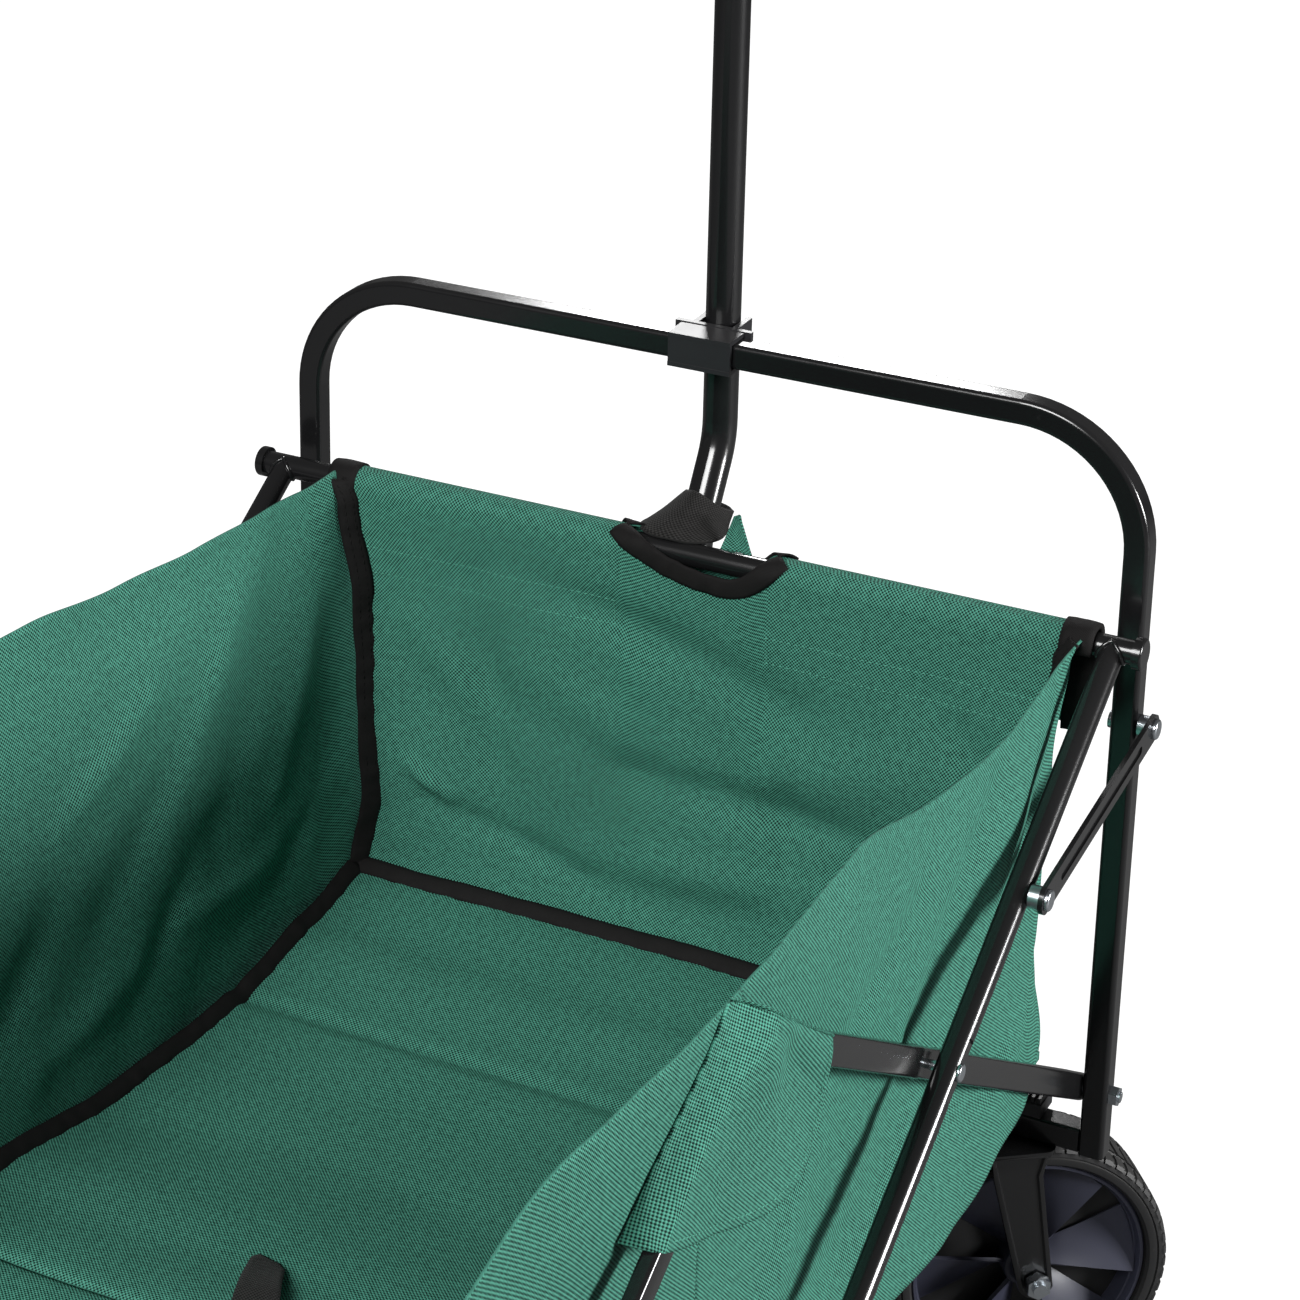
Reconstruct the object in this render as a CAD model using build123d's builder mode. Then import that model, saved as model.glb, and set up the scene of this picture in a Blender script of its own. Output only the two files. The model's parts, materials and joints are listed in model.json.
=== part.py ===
from build123d import *
import math
import os

# Folding camp wagon, open and standing on its wheels. Millimetres.
# X is the width, Y the length with the handle at -Y, Z up. "left" is +X and
# "right" is -X, as seen by the person who pulls it. The pieces are built about
# the middle of the folding frame, and then moved so that the origin is at the
# bottom centre of the whole wagon.

# ---- driving dimensions -------------------------------------------------------
HALF_BASE = 451.5        # wagon's middle to the centre of a leg, along Y
LEG_X = 243.0            # middle to the centre of a leg, along X
LEG = 14.0               # square leg tube
FOOT_Z = 131.0           # lower end of the legs
TOP_Z = 560.0            # top of the U frames
U_BEND = 66.0            # centre-line radius of the U frames' corners
PIVOT_Z = 169.0          # lift bar's bolt in the leg
APEX_Z = 447.0           # lift bars' top joint, level with the hem bars
CROSS_ARM = 246.5        # crossing pivot to apex, to hem bar and to lower joint
LINK_Z = 391.0           # link's rivet on the leg
LINK_REACH = 147.2       # hem bar to link's rivet, along the hem rod

ROD_R = 6.5              # hem bars and hem rods
CAP_R = 8.5              # end caps of the hem bars
HEM_HALF = 259.5         # half length of a hem bar with its caps
BAR_W, BAR_T = 15.0, 8.0     # lift bar: flat rectangular tube
BAR_X = 227.5            # inner face of the lift bars
HALF_LAP = 54.0          # thinned ends, where two bars share a joint
LINK_X, LINK_T, LINK_W = 255.5, 2.5, 15.0

RAIL_W, RAIL_T = 15.0, 8.0   # floor rails, laid flat
RAIL_Y, RAIL_Z = 435.5, 144.5    # their hinges, behind the cross tubes
RAIL_END_Z = 156.0       # their tips, at the wagon's middle
HUB_BACK, HUB_H = 100.0, 30.0    # bar that joins two rails, back from their tips
FRONT_RAIL_X, REAR_RAIL_X = 191.5, 174.5

CROSS_H = 14.5           # cross tube between the legs
SWIVEL_X = 185.0         # caster swivel and rear fork
WHEEL_R, WHEEL_W = 80.0, 44.0
HUB_Z = 46.0             # wheel's axle, before the origin is moved
RIM_R = 67.0
TRAIL = 20.0             # swivel axis to caster axle
FORK_GAP = 29.0          # wheel's middle plane to a fork arm
CASTER_TURN = {"left": 74.0, "right": 128.0}   # where the two casters trail

STEM_R = 9.5             # lower handle tube
INNER_R = 7.5            # sliding handle tube
STEM_Y, STEM_TOP = -471.5, 781.0
HANDLE_PIVOT = (-451.5, 171.0)
GRIP_Z = 840.0           # lower bar of the loop grip

PANEL_X = 212.0          # basket's inner half width
PANEL_T = 3.0
FLOOR_Z, FLOOR_T = 197.0, 8.0    # floor's upper face
BASKET_Y = 411.5         # inner face of an end panel
NOTCH_HALF, NOTCH_Z = 55.0, 434.0

FIT = 0.05               # radial clearance of pins
PIN_R = 2.5

# ---- the folding frame in side view ------------------------------------------
rise = math.atan2(APEX_Z - PIVOT_Z, HALF_BASE)       # slope of the bars, open
cos_r, sin_r = math.cos(rise), math.sin(rise)
P1 = (-HALF_BASE, PIVOT_Z)                           # lift bar on the leg
APEX = (0.0, APEX_Z)
P2 = (-CROSS_ARM * cos_r, APEX_Z - CROSS_ARM * sin_r)    # lift bar and hem rod
HEM = (-2 * CROSS_ARM * cos_r, APEX_Z)
LOW = (0.0, APEX_Z - 2 * CROSS_ARM * sin_r)          # hem rods' lower joint
P3 = (-HALF_BASE, LINK_Z)
P4 = (HEM[0] + LINK_REACH * cos_r, HEM[1] - LINK_REACH * sin_r)
RAIL_PIN = (-RAIL_Y, RAIL_Z)
RAIL_MID = (0.0, RAIL_END_Z)
SIDES = {"left": 1, "right": -1}

pieces = {}


def keep(name, shape):
    """Notes a finished piece under its node's name."""
    pieces[name] = shape


def keep_both_sides(name, shape):
    """Notes a piece made on the left and its mirror image on the right."""
    keep(name + "_left", shape)
    keep(name + "_right", shape.mirror(Plane.YZ))


def side_plane(x, start, end):
    """A plane across X with its origin at start and its x axis towards end."""
    along = (0, end[0] - start[0], end[1] - start[1])
    return Plane(origin=(x, start[0], start[1]), x_dir=along, z_dir=(1, 0, 0))


def span(start, end):
    return math.hypot(end[0] - start[0], end[1] - start[1])


def across(point, x):
    """A place at x on the side view's point, with its z axis along X."""
    return Location((x, point[0], point[1]), (0, 90, 0))


def drill(point, x0, x1, radius):
    """Cuts a round hole along X between x0 and x1 in the part being built."""
    with Locations(across(point, (x0 + x1) / 2)):
        Cylinder(radius, abs(x1 - x0), mode=Mode.SUBTRACT)


def pin(point, x0, x1, radius, head_r, head_t):
    """A shank along X from x0 to x1, with a low head outside each end."""
    with BuildPart() as rivet:
        with Locations(across(point, (x0 + x1) / 2)):
            Cylinder(radius, x1 - x0)
        for end, direction, order in ((x0, -1, 0), (x1, 1, -1)):
            with Locations(across(point, end + direction * head_t / 2)):
                Cylinder(head_r, head_t)
            fillet(rivet.edges().sort_by(Axis.X)[order], head_t * 0.6)
    return rivet.part


def pair(name, shapes):
    """Notes one node made of several shapes and their mirror images."""
    solids = []
    for shape in shapes:
        solids += shape.solids() + shape.mirror(Plane.YZ).solids()
    keep(name, Compound(solids))


# ---- U frames and cross tubes --------------------------------------------------
def u_frame():
    y = -HALF_BASE
    with BuildPart() as frame:
        with BuildLine(Plane.XZ.offset(-y)) as path:
            FilletPolyline(
                (-LEG_X, FOOT_Z), (-LEG_X, TOP_Z - LEG / 2), (LEG_X, TOP_Z - LEG / 2), (LEG_X, FOOT_Z),
                radius=U_BEND,
            )
        with BuildSketch(Plane(origin=path.line @ 0, z_dir=path.line % 0)):
            RectangleRounded(LEG, LEG, 2.6)
        sweep()
        for x in (LEG_X, -LEG_X):
            drill(P1, x - LEG, x + LEG, 3 + FIT)
            drill(P3, x - LEG, x + LEG, PIN_R + FIT)
    return frame.part


def cross_tube(swivels):
    width = 2 * (LEG_X - LEG / 2)
    with BuildPart() as tube:
        with Locations((0, -HALF_BASE, FOOT_Z + 0.5 + CROSS_H / 2)):
            Box(width, LEG, CROSS_H)
        fillet(tube.edges().filter_by(Axis.X), 2)
        if swivels:
            with Locations((SWIVEL_X, -HALF_BASE, FOOT_Z), (-SWIVEL_X, -HALF_BASE, FOOT_Z)):
                Cylinder(5 + FIT, 60, mode=Mode.SUBTRACT)
    return tube.part


keep("front_u_frame", u_frame())
keep("rear_u_frame", u_frame().mirror(Plane.XZ))
keep("front_cross_tube", cross_tube(True))
keep("rear_cross_tube", cross_tube(False).mirror(Plane.XZ))


# ---- lift bars: leg to apex ----------------------------------------------------
def lift_bar(lap_outside):
    """The half-thickness end at the apex is on the outer or the inner side."""
    length = span(P1, APEX)
    plane = side_plane(BAR_X, P1, APEX)
    with BuildPart() as bar:
        with BuildSketch(plane):
            with Locations((length / 2, 0)):
                SlotCenterToCenter(length, BAR_W)
        extrude(amount=BAR_T)
        # the end at the leg is crimped thinner, from inside
        with BuildSketch(plane):
            with Locations((2, 0)):
                Rectangle(30, BAR_W + 4)
        extrude(amount=2.5, mode=Mode.SUBTRACT)
        # the end at the apex keeps one half of the thickness
        start = 0 if lap_outside else BAR_T / 2 - 0.2
        with BuildSketch(plane.offset(start)):
            with Locations((length - HALF_LAP / 2 + BAR_W / 2, 0)):
                Rectangle(HALF_LAP + BAR_W, BAR_W + 4)
        extrude(amount=BAR_T / 2 + 0.2, mode=Mode.SUBTRACT)
        # pressed seat where the hem rod crosses
        with BuildSketch(plane.offset(BAR_T - 1.2)):
            with Locations((length - CROSS_ARM, 0)):
                Rectangle(36, BAR_W + 4)
        extrude(amount=2, mode=Mode.SUBTRACT)
        drill(P1, BAR_X - 1, BAR_X + BAR_T + 1, 3 + FIT)
        drill(P2, BAR_X - 1, BAR_X + BAR_T + 1, PIN_R + FIT)
        drill(APEX, BAR_X - 1, BAR_X + BAR_T + 1, 3 + FIT)
    return bar.part


keep_both_sides("front_lift_bar", lift_bar(False))
keep_both_sides("rear_lift_bar", lift_bar(True).mirror(Plane.XZ))


# ---- hem frames: a bar across the basket's end and two rods --------------------
def hem_bar():
    with BuildPart() as bar:
        with Locations(across(HEM, 0)):
            Cylinder(ROD_R, 2 * HEM_HALF - 8)
        for side in (1, -1):
            with Locations(across(HEM, side * (HEM_HALF - 2.5))):
                Cylinder(CAP_R, 5)
        fillet(bar.edges().sort_by(Axis.X)[0], 1.2)
        fillet(bar.edges().sort_by(Axis.X)[-1], 1.2)
    return bar.part


def hem_rod(lap_outside):
    length = span(HEM, LOW)
    plane = side_plane(LEG_X, HEM, LOW)
    lap_x = LEG_X + 0.5 if lap_outside else LEG_X - 6
    with BuildPart() as rod:
        with BuildSketch(Plane(origin=plane.origin, z_dir=plane.x_dir)):
            Circle(ROD_R)
        extrude(amount=length - HALF_LAP)
        # flattened end at the lower joint
        with BuildSketch(side_plane(lap_x, HEM, LOW)):
            with Locations((length - (HALF_LAP + 8) / 2, 0)):
                SlotCenterToCenter(HALF_LAP + 8, 2 * ROD_R + 2)
        extrude(amount=5.5)
        with Locations(across(HEM, LEG_X)):
            Cylinder(ROD_R + 0.02, 40, mode=Mode.SUBTRACT)
        # flat seat on the outer side, under the crossing rivet's head
        with BuildSketch(side_plane(LEG_X + ROD_R - 1, P2, LOW)):
            Rectangle(34, 2 * ROD_R + 6)
        extrude(amount=3, mode=Mode.SUBTRACT)
        drill(P2, LEG_X - 9, LEG_X + 9, PIN_R + FIT)
        drill(LOW, LEG_X - 9, LEG_X + 9, PIN_R + FIT)
    return rod.part


keep("front_hem_bar", hem_bar())
keep("rear_hem_bar", hem_bar().mirror(Plane.XZ))
keep_both_sides("front_hem_rod", hem_rod(True))
keep_both_sides("rear_hem_rod", hem_rod(False).mirror(Plane.XZ))


# ---- links: leg to hem rod -----------------------------------------------------
def link():
    length = span(P3, P4)
    plane = side_plane(LINK_X, P3, P4)
    with BuildPart() as plate:
        with BuildSketch(plane):
            with Locations((length / 2, 0)):
                SlotCenterToCenter(length, LINK_W)
        extrude(amount=LINK_T)
        with BuildSketch(plane.offset(LINK_T - 0.9)):
            with Locations((length / 2, 0)):
                SlotCenterToCenter(length - 44, 5)
        extrude(amount=2, mode=Mode.SUBTRACT)
        drill(P3, LINK_X - 1, LINK_X + 4, PIN_R + FIT)
        drill(P4, LINK_X - 1, LINK_X + 4, PIN_R + FIT)
    return plate.part


keep_both_sides("front_link", link())
keep_both_sides("rear_link", link().mirror(Plane.XZ))


def link_end_rivet():
    """Spacer boss, shank and outer head at the hem rod's end of a link."""
    seat = LEG_X + ROD_R + 0.3
    with BuildPart() as boss:
        with Locations(across(P4, (seat + LINK_X - 0.1) / 2)):
            Cylinder(6, LINK_X - 0.1 - seat)
        with Locations(across(P4, (LINK_X + LINK_T) / 2 + LINK_X / 2)):
            Cylinder(PIN_R, LINK_T + 0.4)
        with Locations(across(P4, LINK_X + LINK_T + 1.2)):
            Cylinder(5.5, 2.2)
        fillet(boss.edges().sort_by(Axis.X)[-1], 1.3)
    return boss.part


pair("front_link_rivets", [link_end_rivet()])
pair("rear_link_rivets", [link_end_rivet().mirror(Plane.XZ)])


# ---- fasteners that belong to the leg frames -----------------------------------
def leg_bolt():
    """Bolt through the leg and the lift bar, its nut on the leg's outer face."""
    outer = LEG_X + LEG / 2
    with BuildPart() as bolt:
        with Locations(across(P1, (BAR_X + outer + 5) / 2 - 0.2)):
            Cylinder(3, outer + 5 - BAR_X + 2)
        with Locations(across(P1, BAR_X - 1.6)):
            Cylinder(5.5, 3)
        with BuildSketch(side_plane(outer + 0.1, P1, APEX)):
            RegularPolygon(5.6, 6)
        extrude(amount=4.5)
    return bolt.part


def link_root_rivet():
    """Rivet through the leg with a spacer boss and the link under its head."""
    inner, outer = LEG_X - LEG / 2, LEG_X + LEG / 2
    with BuildPart() as rivet:
        with Locations(across(P3, (inner + LINK_X + LINK_T) / 2)):
            Cylinder(PIN_R, LINK_X + LINK_T - inner + 0.6)
        with Locations(across(P3, inner - 1)):
            Cylinder(4.5, 2)
        with Locations(across(P3, (outer + LINK_X) / 2)):
            Cylinder(6, LINK_X - outer - 0.2)
        with Locations(across(P3, LINK_X + LINK_T + 1.2)):
            Cylinder(5.5, 2.2)
        fillet(rivet.edges().sort_by(Axis.X)[-1], 1.3)
    return rivet.part


def rail_hinge(x):
    """Two ears on the cross tube's rear face with a pin for a floor rail."""
    face = -HALF_BASE + LEG / 2
    width = RAIL_W / 2 + 0.3
    with BuildPart() as hinge:
        for side in (1, -1):
            low = x + side * width - (2 if side < 0 else 0)
            with BuildSketch(Plane(origin=(low, 0, 0), x_dir=(0, 1, 0), z_dir=(1, 0, 0))):
                with BuildLine():
                    Polyline((face, RAIL_Z - 6), (face, RAIL_Z + 1), (RAIL_PIN[0], RAIL_Z + 5),
                             (RAIL_PIN[0] + 5, RAIL_Z), (RAIL_PIN[0], RAIL_Z - 5), (face, RAIL_Z - 6))
                make_face()
            extrude(amount=2)
        with Locations(across(RAIL_PIN, x)):
            Cylinder(2, 2 * width + 6)
    return hinge.part


front_fasteners = [leg_bolt(), link_root_rivet(), rail_hinge(FRONT_RAIL_X)]
rear_fasteners = [leg_bolt(), link_root_rivet(), rail_hinge(REAR_RAIL_X)]
pair("front_frame_fasteners", front_fasteners)
pair("rear_frame_fasteners", [piece.mirror(Plane.XZ) for piece in rear_fasteners])


# ---- fasteners of the crossing bars --------------------------------------------
crossing = pin(P2, BAR_X - 0.1, LEG_X + ROD_R - 0.9, PIN_R, 4.5, 1.8)
lower = pin(LOW, LEG_X - 6.2, LEG_X + 6.2, PIN_R, 5, 1.6)
apex = pin(APEX, BAR_X - 0.1, BAR_X + BAR_T + 0.05, 3, 5.5, 0.8)
pair("front_crossing_rivets", [crossing, lower])
pair("rear_crossing_rivets", [crossing.mirror(Plane.XZ)])
pair("apex_rivets", [apex])


# ---- floor rails ---------------------------------------------------------------
def floor_rails(x):
    """Two rails from the cross tube's hinges and the bar that joins them."""
    plane = side_plane(x - RAIL_W / 2, RAIL_PIN, RAIL_MID)
    length = span(RAIL_PIN, RAIL_MID)
    with BuildPart() as rails:
        with BuildSketch(plane):
            with Locations((length / 2, 0)):
                SlotCenterToCenter(length, RAIL_T)
        extrude(amount=RAIL_W)
        drill(RAIL_PIN, x - RAIL_W, x + RAIL_W, 2 + FIT)
        mirror(about=Plane.YZ)
        # hub bar, standing on the rails and carrying the floor
        with BuildSketch(side_plane(-x - RAIL_W / 2, RAIL_PIN, RAIL_MID)):
            with Locations((length - HUB_BACK, RAIL_T / 2 - 1 + HUB_H / 2)):
                RectangleRounded(14, HUB_H, 2)
        extrude(amount=2 * x + RAIL_W)
    return rails.part


keep("front_floor_rails", floor_rails(FRONT_RAIL_X))
keep("rear_floor_rails", floor_rails(REAR_RAIL_X).mirror(Plane.XZ))


# ---- casters and wheels, made with the swivel axis at the origin ----------------
def tyre():
    with BuildPart() as ring:
        half = WHEEL_W / 2
        with BuildSketch(Plane.XY):
            with BuildLine():
                Polyline((-half + 6, RIM_R), (-half, RIM_R + 3), (-half, WHEEL_R - 5), (-half + 4, WHEEL_R),
                         (half - 4, WHEEL_R), (half, WHEEL_R - 5), (half, RIM_R + 3), (half - 6, RIM_R),
                         (-half + 6, RIM_R))
            make_face()
        revolve(axis=Axis.X)
    return ring.part


def rim():
    """Rim ring, bored hub and six broad blades set like a fan."""
    half = WHEEL_W / 2 - 6
    with BuildPart() as wheel:
        with BuildSketch(Plane.YZ.offset(-half)):
            Circle(RIM_R - 0.05)
            Circle(RIM_R - 4.5, mode=Mode.SUBTRACT)
        extrude(amount=2 * half)
        with BuildSketch(Plane.YZ.offset(-FORK_GAP + 4)):
            Circle(11)
        extrude(amount=2 * FORK_GAP - 8)
        for number in range(6):
            spoke = Location((0, 0, 0), (number * 60, 0, 0)) * Location((0, 0, 36.5), (0, 0, 22))
            with Locations(spoke):
                Box(3, 32, 54)
        with BuildSketch(Plane.YZ.offset(-FORK_GAP)):
            Circle(4 + FIT)
        extrude(amount=2 * FORK_GAP, mode=Mode.SUBTRACT)
    return wheel.part


def fork(trail, stem):
    """Crown plate, two flanged arms and, on a caster, the swivel stem."""
    crown_z = FOOT_Z - 4
    axle = (trail, HUB_Z)
    with BuildPart() as body:
        with Locations((0, trail * 0.3, crown_z + 1.5)):
            Box(2 * FORK_GAP + 5, 44, 3)
        fillet(body.edges().filter_by(Axis.Z), 6)
        for side in (1, -1):
            low = side * FORK_GAP - (2.5 if side < 0 else 0)
            with BuildSketch(Plane(origin=(low, 0, 0), x_dir=(0, 1, 0), z_dir=(1, 0, 0))):
                with BuildLine():
                    Polyline((trail * 0.3 - 15, crown_z + 1), (trail * 0.3 + 15, crown_z + 1),
                             (axle[0] + 10, axle[1]), (axle[0], axle[1] - 11), (axle[0] - 10, axle[1]),
                             (trail * 0.3 - 15, crown_z + 1))
                make_face()
            extrude(amount=2.5)
        if stem:
            with Locations((0, 0, FOOT_Z + 14)):
                Cylinder(5, 36)
            with Locations((0, 0, FOOT_Z - 0.4)):
                Cylinder(13, 1.2)
            with Locations((0, 0, FOOT_Z + 32)):
                Cylinder(8, 4)
        with Locations(across(axle, 0)):
            Cylinder(4 + FIT, 4 * FORK_GAP, mode=Mode.SUBTRACT)
    return body.part


def axle_bolt(trail):
    axle = (trail, HUB_Z)
    with BuildPart() as bolt:
        with Locations(across(axle, 0)):
            Cylinder(4, 2 * FORK_GAP + 22)
        with BuildSketch(side_plane(FORK_GAP + 2.6, axle, (trail, 200))):
            RegularPolygon(7.2, 6)
        extrude(amount=6)
        with BuildSketch(side_plane(-FORK_GAP - 2.6 - 5, axle, (trail, 200))):
            RegularPolygon(7.2, 6)
        extrude(amount=5)
    return bolt.part


def placed_wheel(shape, turn, place):
    """Turns a piece about the swivel axis and moves it to its corner."""
    return shape.rotate(Axis.Z, turn).moved(Location(place))


for side, sign in SIDES.items():
    corner = (sign * SWIVEL_X, -HALF_BASE, 0)
    turn = CASTER_TURN[side]
    hub = Location((0, TRAIL, HUB_Z))
    keep(f"caster_fork_{side}", placed_wheel(fork(TRAIL, True), turn, corner))
    keep(f"caster_axle_{side}", placed_wheel(axle_bolt(TRAIL), turn, corner))
    keep(f"caster_tyre_{side}", placed_wheel(tyre().moved(hub), turn, corner))
    keep(f"caster_rim_{side}", placed_wheel(rim().moved(hub), turn, corner))
    back = (sign * SWIVEL_X, HALF_BASE, 0)
    rear_hub = Location((0, 0, HUB_Z))
    keep(f"rear_fork_{side}", placed_wheel(fork(0, False), 0, back))
    keep(f"rear_tyre_{side}", placed_wheel(tyre().moved(rear_hub), 0, back))
    keep(f"rear_rim_{side}", placed_wheel(rim().moved(rear_hub), 0, back))

rear_axle = placed_wheel(axle_bolt(0), 0, (SWIVEL_X, HALF_BASE, 0))
pair("rear_axles", [rear_axle])


def caster_mount():
    """Ribbed block on the cross tube that the swivel stem turns in."""
    top = FOOT_Z + 0.5 + CROSS_H
    with BuildPart() as block:
        with Locations((SWIVEL_X + 6, -HALF_BASE - 2.7, top + 4.1)):
            Box(46, 19, 8)
        for number in range(5):
            with Locations((SWIVEL_X + 13 + number * 3.6, -HALF_BASE - 2.7, top + 10)):
                Box(1.6, 17, 4)
        with Locations((SWIVEL_X, -HALF_BASE, top)):
            Cylinder(5 + FIT, 60, mode=Mode.SUBTRACT)
    return block.part


keep_both_sides("caster_mount", caster_mount())


# ---- handle ----------------------------------------------------------------------
def stem():
    """Bent lower tube, bored from the top for the sliding tube."""
    bend_low, bend_high = (-442.5, 446.0), (STEM_Y, 494.0)
    with BuildPart() as tube:
        with BuildLine(Plane.YZ) as path:
            FilletPolyline(HANDLE_PIVOT, bend_low, bend_high, (STEM_Y, STEM_TOP), radius=42)
        with BuildSketch(Plane(origin=path.line @ 0, z_dir=path.line % 0)):
            Circle(STEM_R)
        sweep()
        with Locations(across(HANDLE_PIVOT, 0)):
            Cylinder(STEM_R, 2 * STEM_R)
        with Locations((0, STEM_Y, STEM_TOP - 130)):
            Cylinder(INNER_R + FIT, 262, mode=Mode.SUBTRACT)
        drill(HANDLE_PIVOT, -20, 20, 4 + FIT)
    return tube.part


def handle_bracket():
    """Two ears on the cross tube and the bolt that the handle turns on."""
    y, z = HANDLE_PIVOT
    base = FOOT_Z + 0.5 + CROSS_H
    with BuildPart() as bracket:
        with Locations((0, y, base + 1.6)):
            Box(27, 22, 3)
        for side in (1, -1):
            with Locations((side * 12, y, (base + z + 9) / 2)):
                Box(3, 20, z + 9 - base)
        with Locations(across(HANDLE_PIVOT, 0)):
            Cylinder(4, 34)
        for side in (1, -1):
            with Locations(across(HANDLE_PIVOT, side * 16)):
                Cylinder(7, 4)
    return bracket.part


def handle_clip():
    """Open-fronted clip on the U frame's crossbar that holds the stem."""
    gap = STEM_R + 0.3
    back = -HALF_BASE - LEG / 2
    z = TOP_Z - LEG / 2
    with BuildPart() as clip:
        with Locations((0, (back + STEM_Y + gap) / 2, z)):
            Box(44, back - STEM_Y - gap, 20)
        for side in (1, -1):
            with Locations((side * (gap + 1.6), STEM_Y + 1, z)):
                Box(3.2, 2 * gap, 20)
        # saddle over and under the crossbar
        with Locations((0, -HALF_BASE + 1, TOP_Z + 1.3)):
            Box(36, LEG + 6, 2.4)
        with Locations((0, -HALF_BASE + 1, TOP_Z - LEG - 1.3)):
            Box(36, LEG + 6, 2.4)
        with Locations((0, -HALF_BASE + LEG / 2 + 2.4, z)):
            Box(36, 2.4, LEG + 5)
        with Locations((0, back - 1, z)):
            Box(36, 2, LEG + 5)
    return clip.part


def sliding_tube():
    length = GRIP_Z - STEM_TOP + 240
    with BuildPart() as tube:
        with Locations((0, STEM_Y, GRIP_Z - length / 2)):
            Cylinder(INNER_R, length)
    return tube.part


def collar():
    with BuildPart() as ring:
        with Locations((0, STEM_Y, STEM_TOP - 8)):
            Cylinder(STEM_R + 3.2, 34)
            Cylinder(STEM_R + 0.02, 40, mode=Mode.SUBTRACT)
        with Locations((0, STEM_Y, STEM_TOP + 4.6)):
            Cylinder(STEM_R + 2, 8)
            Cylinder(INNER_R + FIT, 12, mode=Mode.SUBTRACT)
        fillet(ring.edges().filter_by(GeomType.CIRCLE).sort_by(SortBy.RADIUS)[-1], 1.5)
    return ring.part


def grip():
    """Loop grip: a rounded D with a thick top bar."""
    with BuildPart() as loop:
        with BuildLine(Plane.XZ.offset(-STEM_Y)) as path:
            FilletPolyline((-32, GRIP_Z), (-56, GRIP_Z + 84), (56, GRIP_Z + 84), (32, GRIP_Z),
                           radius=14, close=True)
        with BuildSketch(Plane(origin=path.line @ 0, z_dir=path.line % 0)):
            Circle(9)
        sweep()
        with Locations((0, STEM_Y, GRIP_Z - 16)):
            Cylinder(12, 34)
        with Locations((0, STEM_Y, GRIP_Z - 20)):
            Cylinder(INNER_R + 0.02, 45, mode=Mode.SUBTRACT)
    return loop.part


keep("handle_stem", stem())
keep("handle_bracket", handle_bracket())
keep("handle_clip", handle_clip())
keep("handle_tube", sliding_tube())
keep("handle_collar", collar())
keep("handle_grip", grip())


# ---- basket -----------------------------------------------------------------------
def end_panel(notched):
    """Sheet over the hem bar, inside and out, with a notch for the handle."""
    y, z = HEM
    sleeve = ROD_R + 0.6
    outer = sleeve + 1.8
    low = FLOOR_Z - FLOOR_T
    with BuildPart() as panel:
        with BuildSketch(Plane.YZ.offset(-PANEL_X - 5)):
            with Locations((y, z)):
                Circle(outer)
            with Locations((y + (sleeve + outer) / 2, (z + low) / 2)):
                Rectangle(outer - sleeve, z - low)
            with Locations((y - (sleeve + outer) / 2, z - 42)):
                Rectangle(outer - sleeve, 84)
            with Locations((y, z)):
                Circle(sleeve, mode=Mode.SUBTRACT)
                with Locations((0, -sleeve)):
                    Rectangle(2 * sleeve, 2 * sleeve, mode=Mode.SUBTRACT)
        extrude(amount=2 * PANEL_X + 10)
        # the sheet is narrower at the floor than along the bar
        for side in (1, -1):
            with Locations((side * (PANEL_X + 10), y, low + 60)):
                Box(20, 60, 240, mode=Mode.SUBTRACT)
        if notched:
            with Locations((0, y, NOTCH_Z + 30)):
                Box(2 * NOTCH_HALF, 40, 60, mode=Mode.SUBTRACT)
    return panel.part


def side_panel():
    """Front half of a side sheet with half of the pocket over the apex."""
    low = FLOOR_Z - FLOOR_T
    top = APEX_Z + 2
    pocket_top = APEX_Z + 22
    y0, y1 = -BASKET_Y + 1.2, -0.3
    pocket_y = 62
    with BuildPart() as panel:
        with Locations((PANEL_X + PANEL_T / 2, (y0 + y1) / 2, (low + top) / 2)):
            Box(PANEL_T, y1 - y0, top - low)
        with Locations((PANEL_X + PANEL_T / 2, y1 - pocket_y / 2, (top + pocket_top) / 2)):
            Box(PANEL_T, pocket_y, pocket_top - top)
        with Locations(((PANEL_X + 239) / 2, y1 - pocket_y / 2, pocket_top - 1.2)):
            Box(239 - PANEL_X, pocket_y, 2.4)
        with Locations((238, y1 - pocket_y / 2, pocket_top - 46)):
            Box(2, pocket_y, 92)
    return panel.part


def floor_half():
    with BuildPart() as floor:
        with Locations((0, (0.9 - BASKET_Y) / 2, FLOOR_Z - FLOOR_T / 2)):
            Box(2 * PANEL_X - 0.6, BASKET_Y - 1.5, FLOOR_T)
        fillet(floor.edges().filter_by(Axis.Z), 3)
    return floor.part


def handle_strap():
    """Webbing ring on the hem bar with a loop that goes round the stem."""
    y, z = HEM
    loop_y, width, length = y - 28.7, 30, 63
    with BuildPart() as strap:
        with BuildSketch(Plane.XY.offset(z + 7.6)):
            with Locations((0, loop_y)):
                RectangleRounded(width, length, 12)
                RectangleRounded(width - 4, length - 4, 10, mode=Mode.SUBTRACT)
        extrude(amount=26)
        with Locations(across(HEM, 0)):
            Cylinder(ROD_R + 2, width - 4)
            Cylinder(ROD_R + FIT, width, mode=Mode.SUBTRACT)
    return strap.part


keep("front_panel", end_panel(True))
keep("rear_panel", end_panel(False).mirror(Plane.XZ))
keep_both_sides("front_side_panel", side_panel())
keep_both_sides("rear_side_panel", side_panel().mirror(Plane.XZ))
keep("front_floor", floor_half())
keep("rear_floor", floor_half().mirror(Plane.XZ))
keep("handle_strap", handle_strap())


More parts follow.
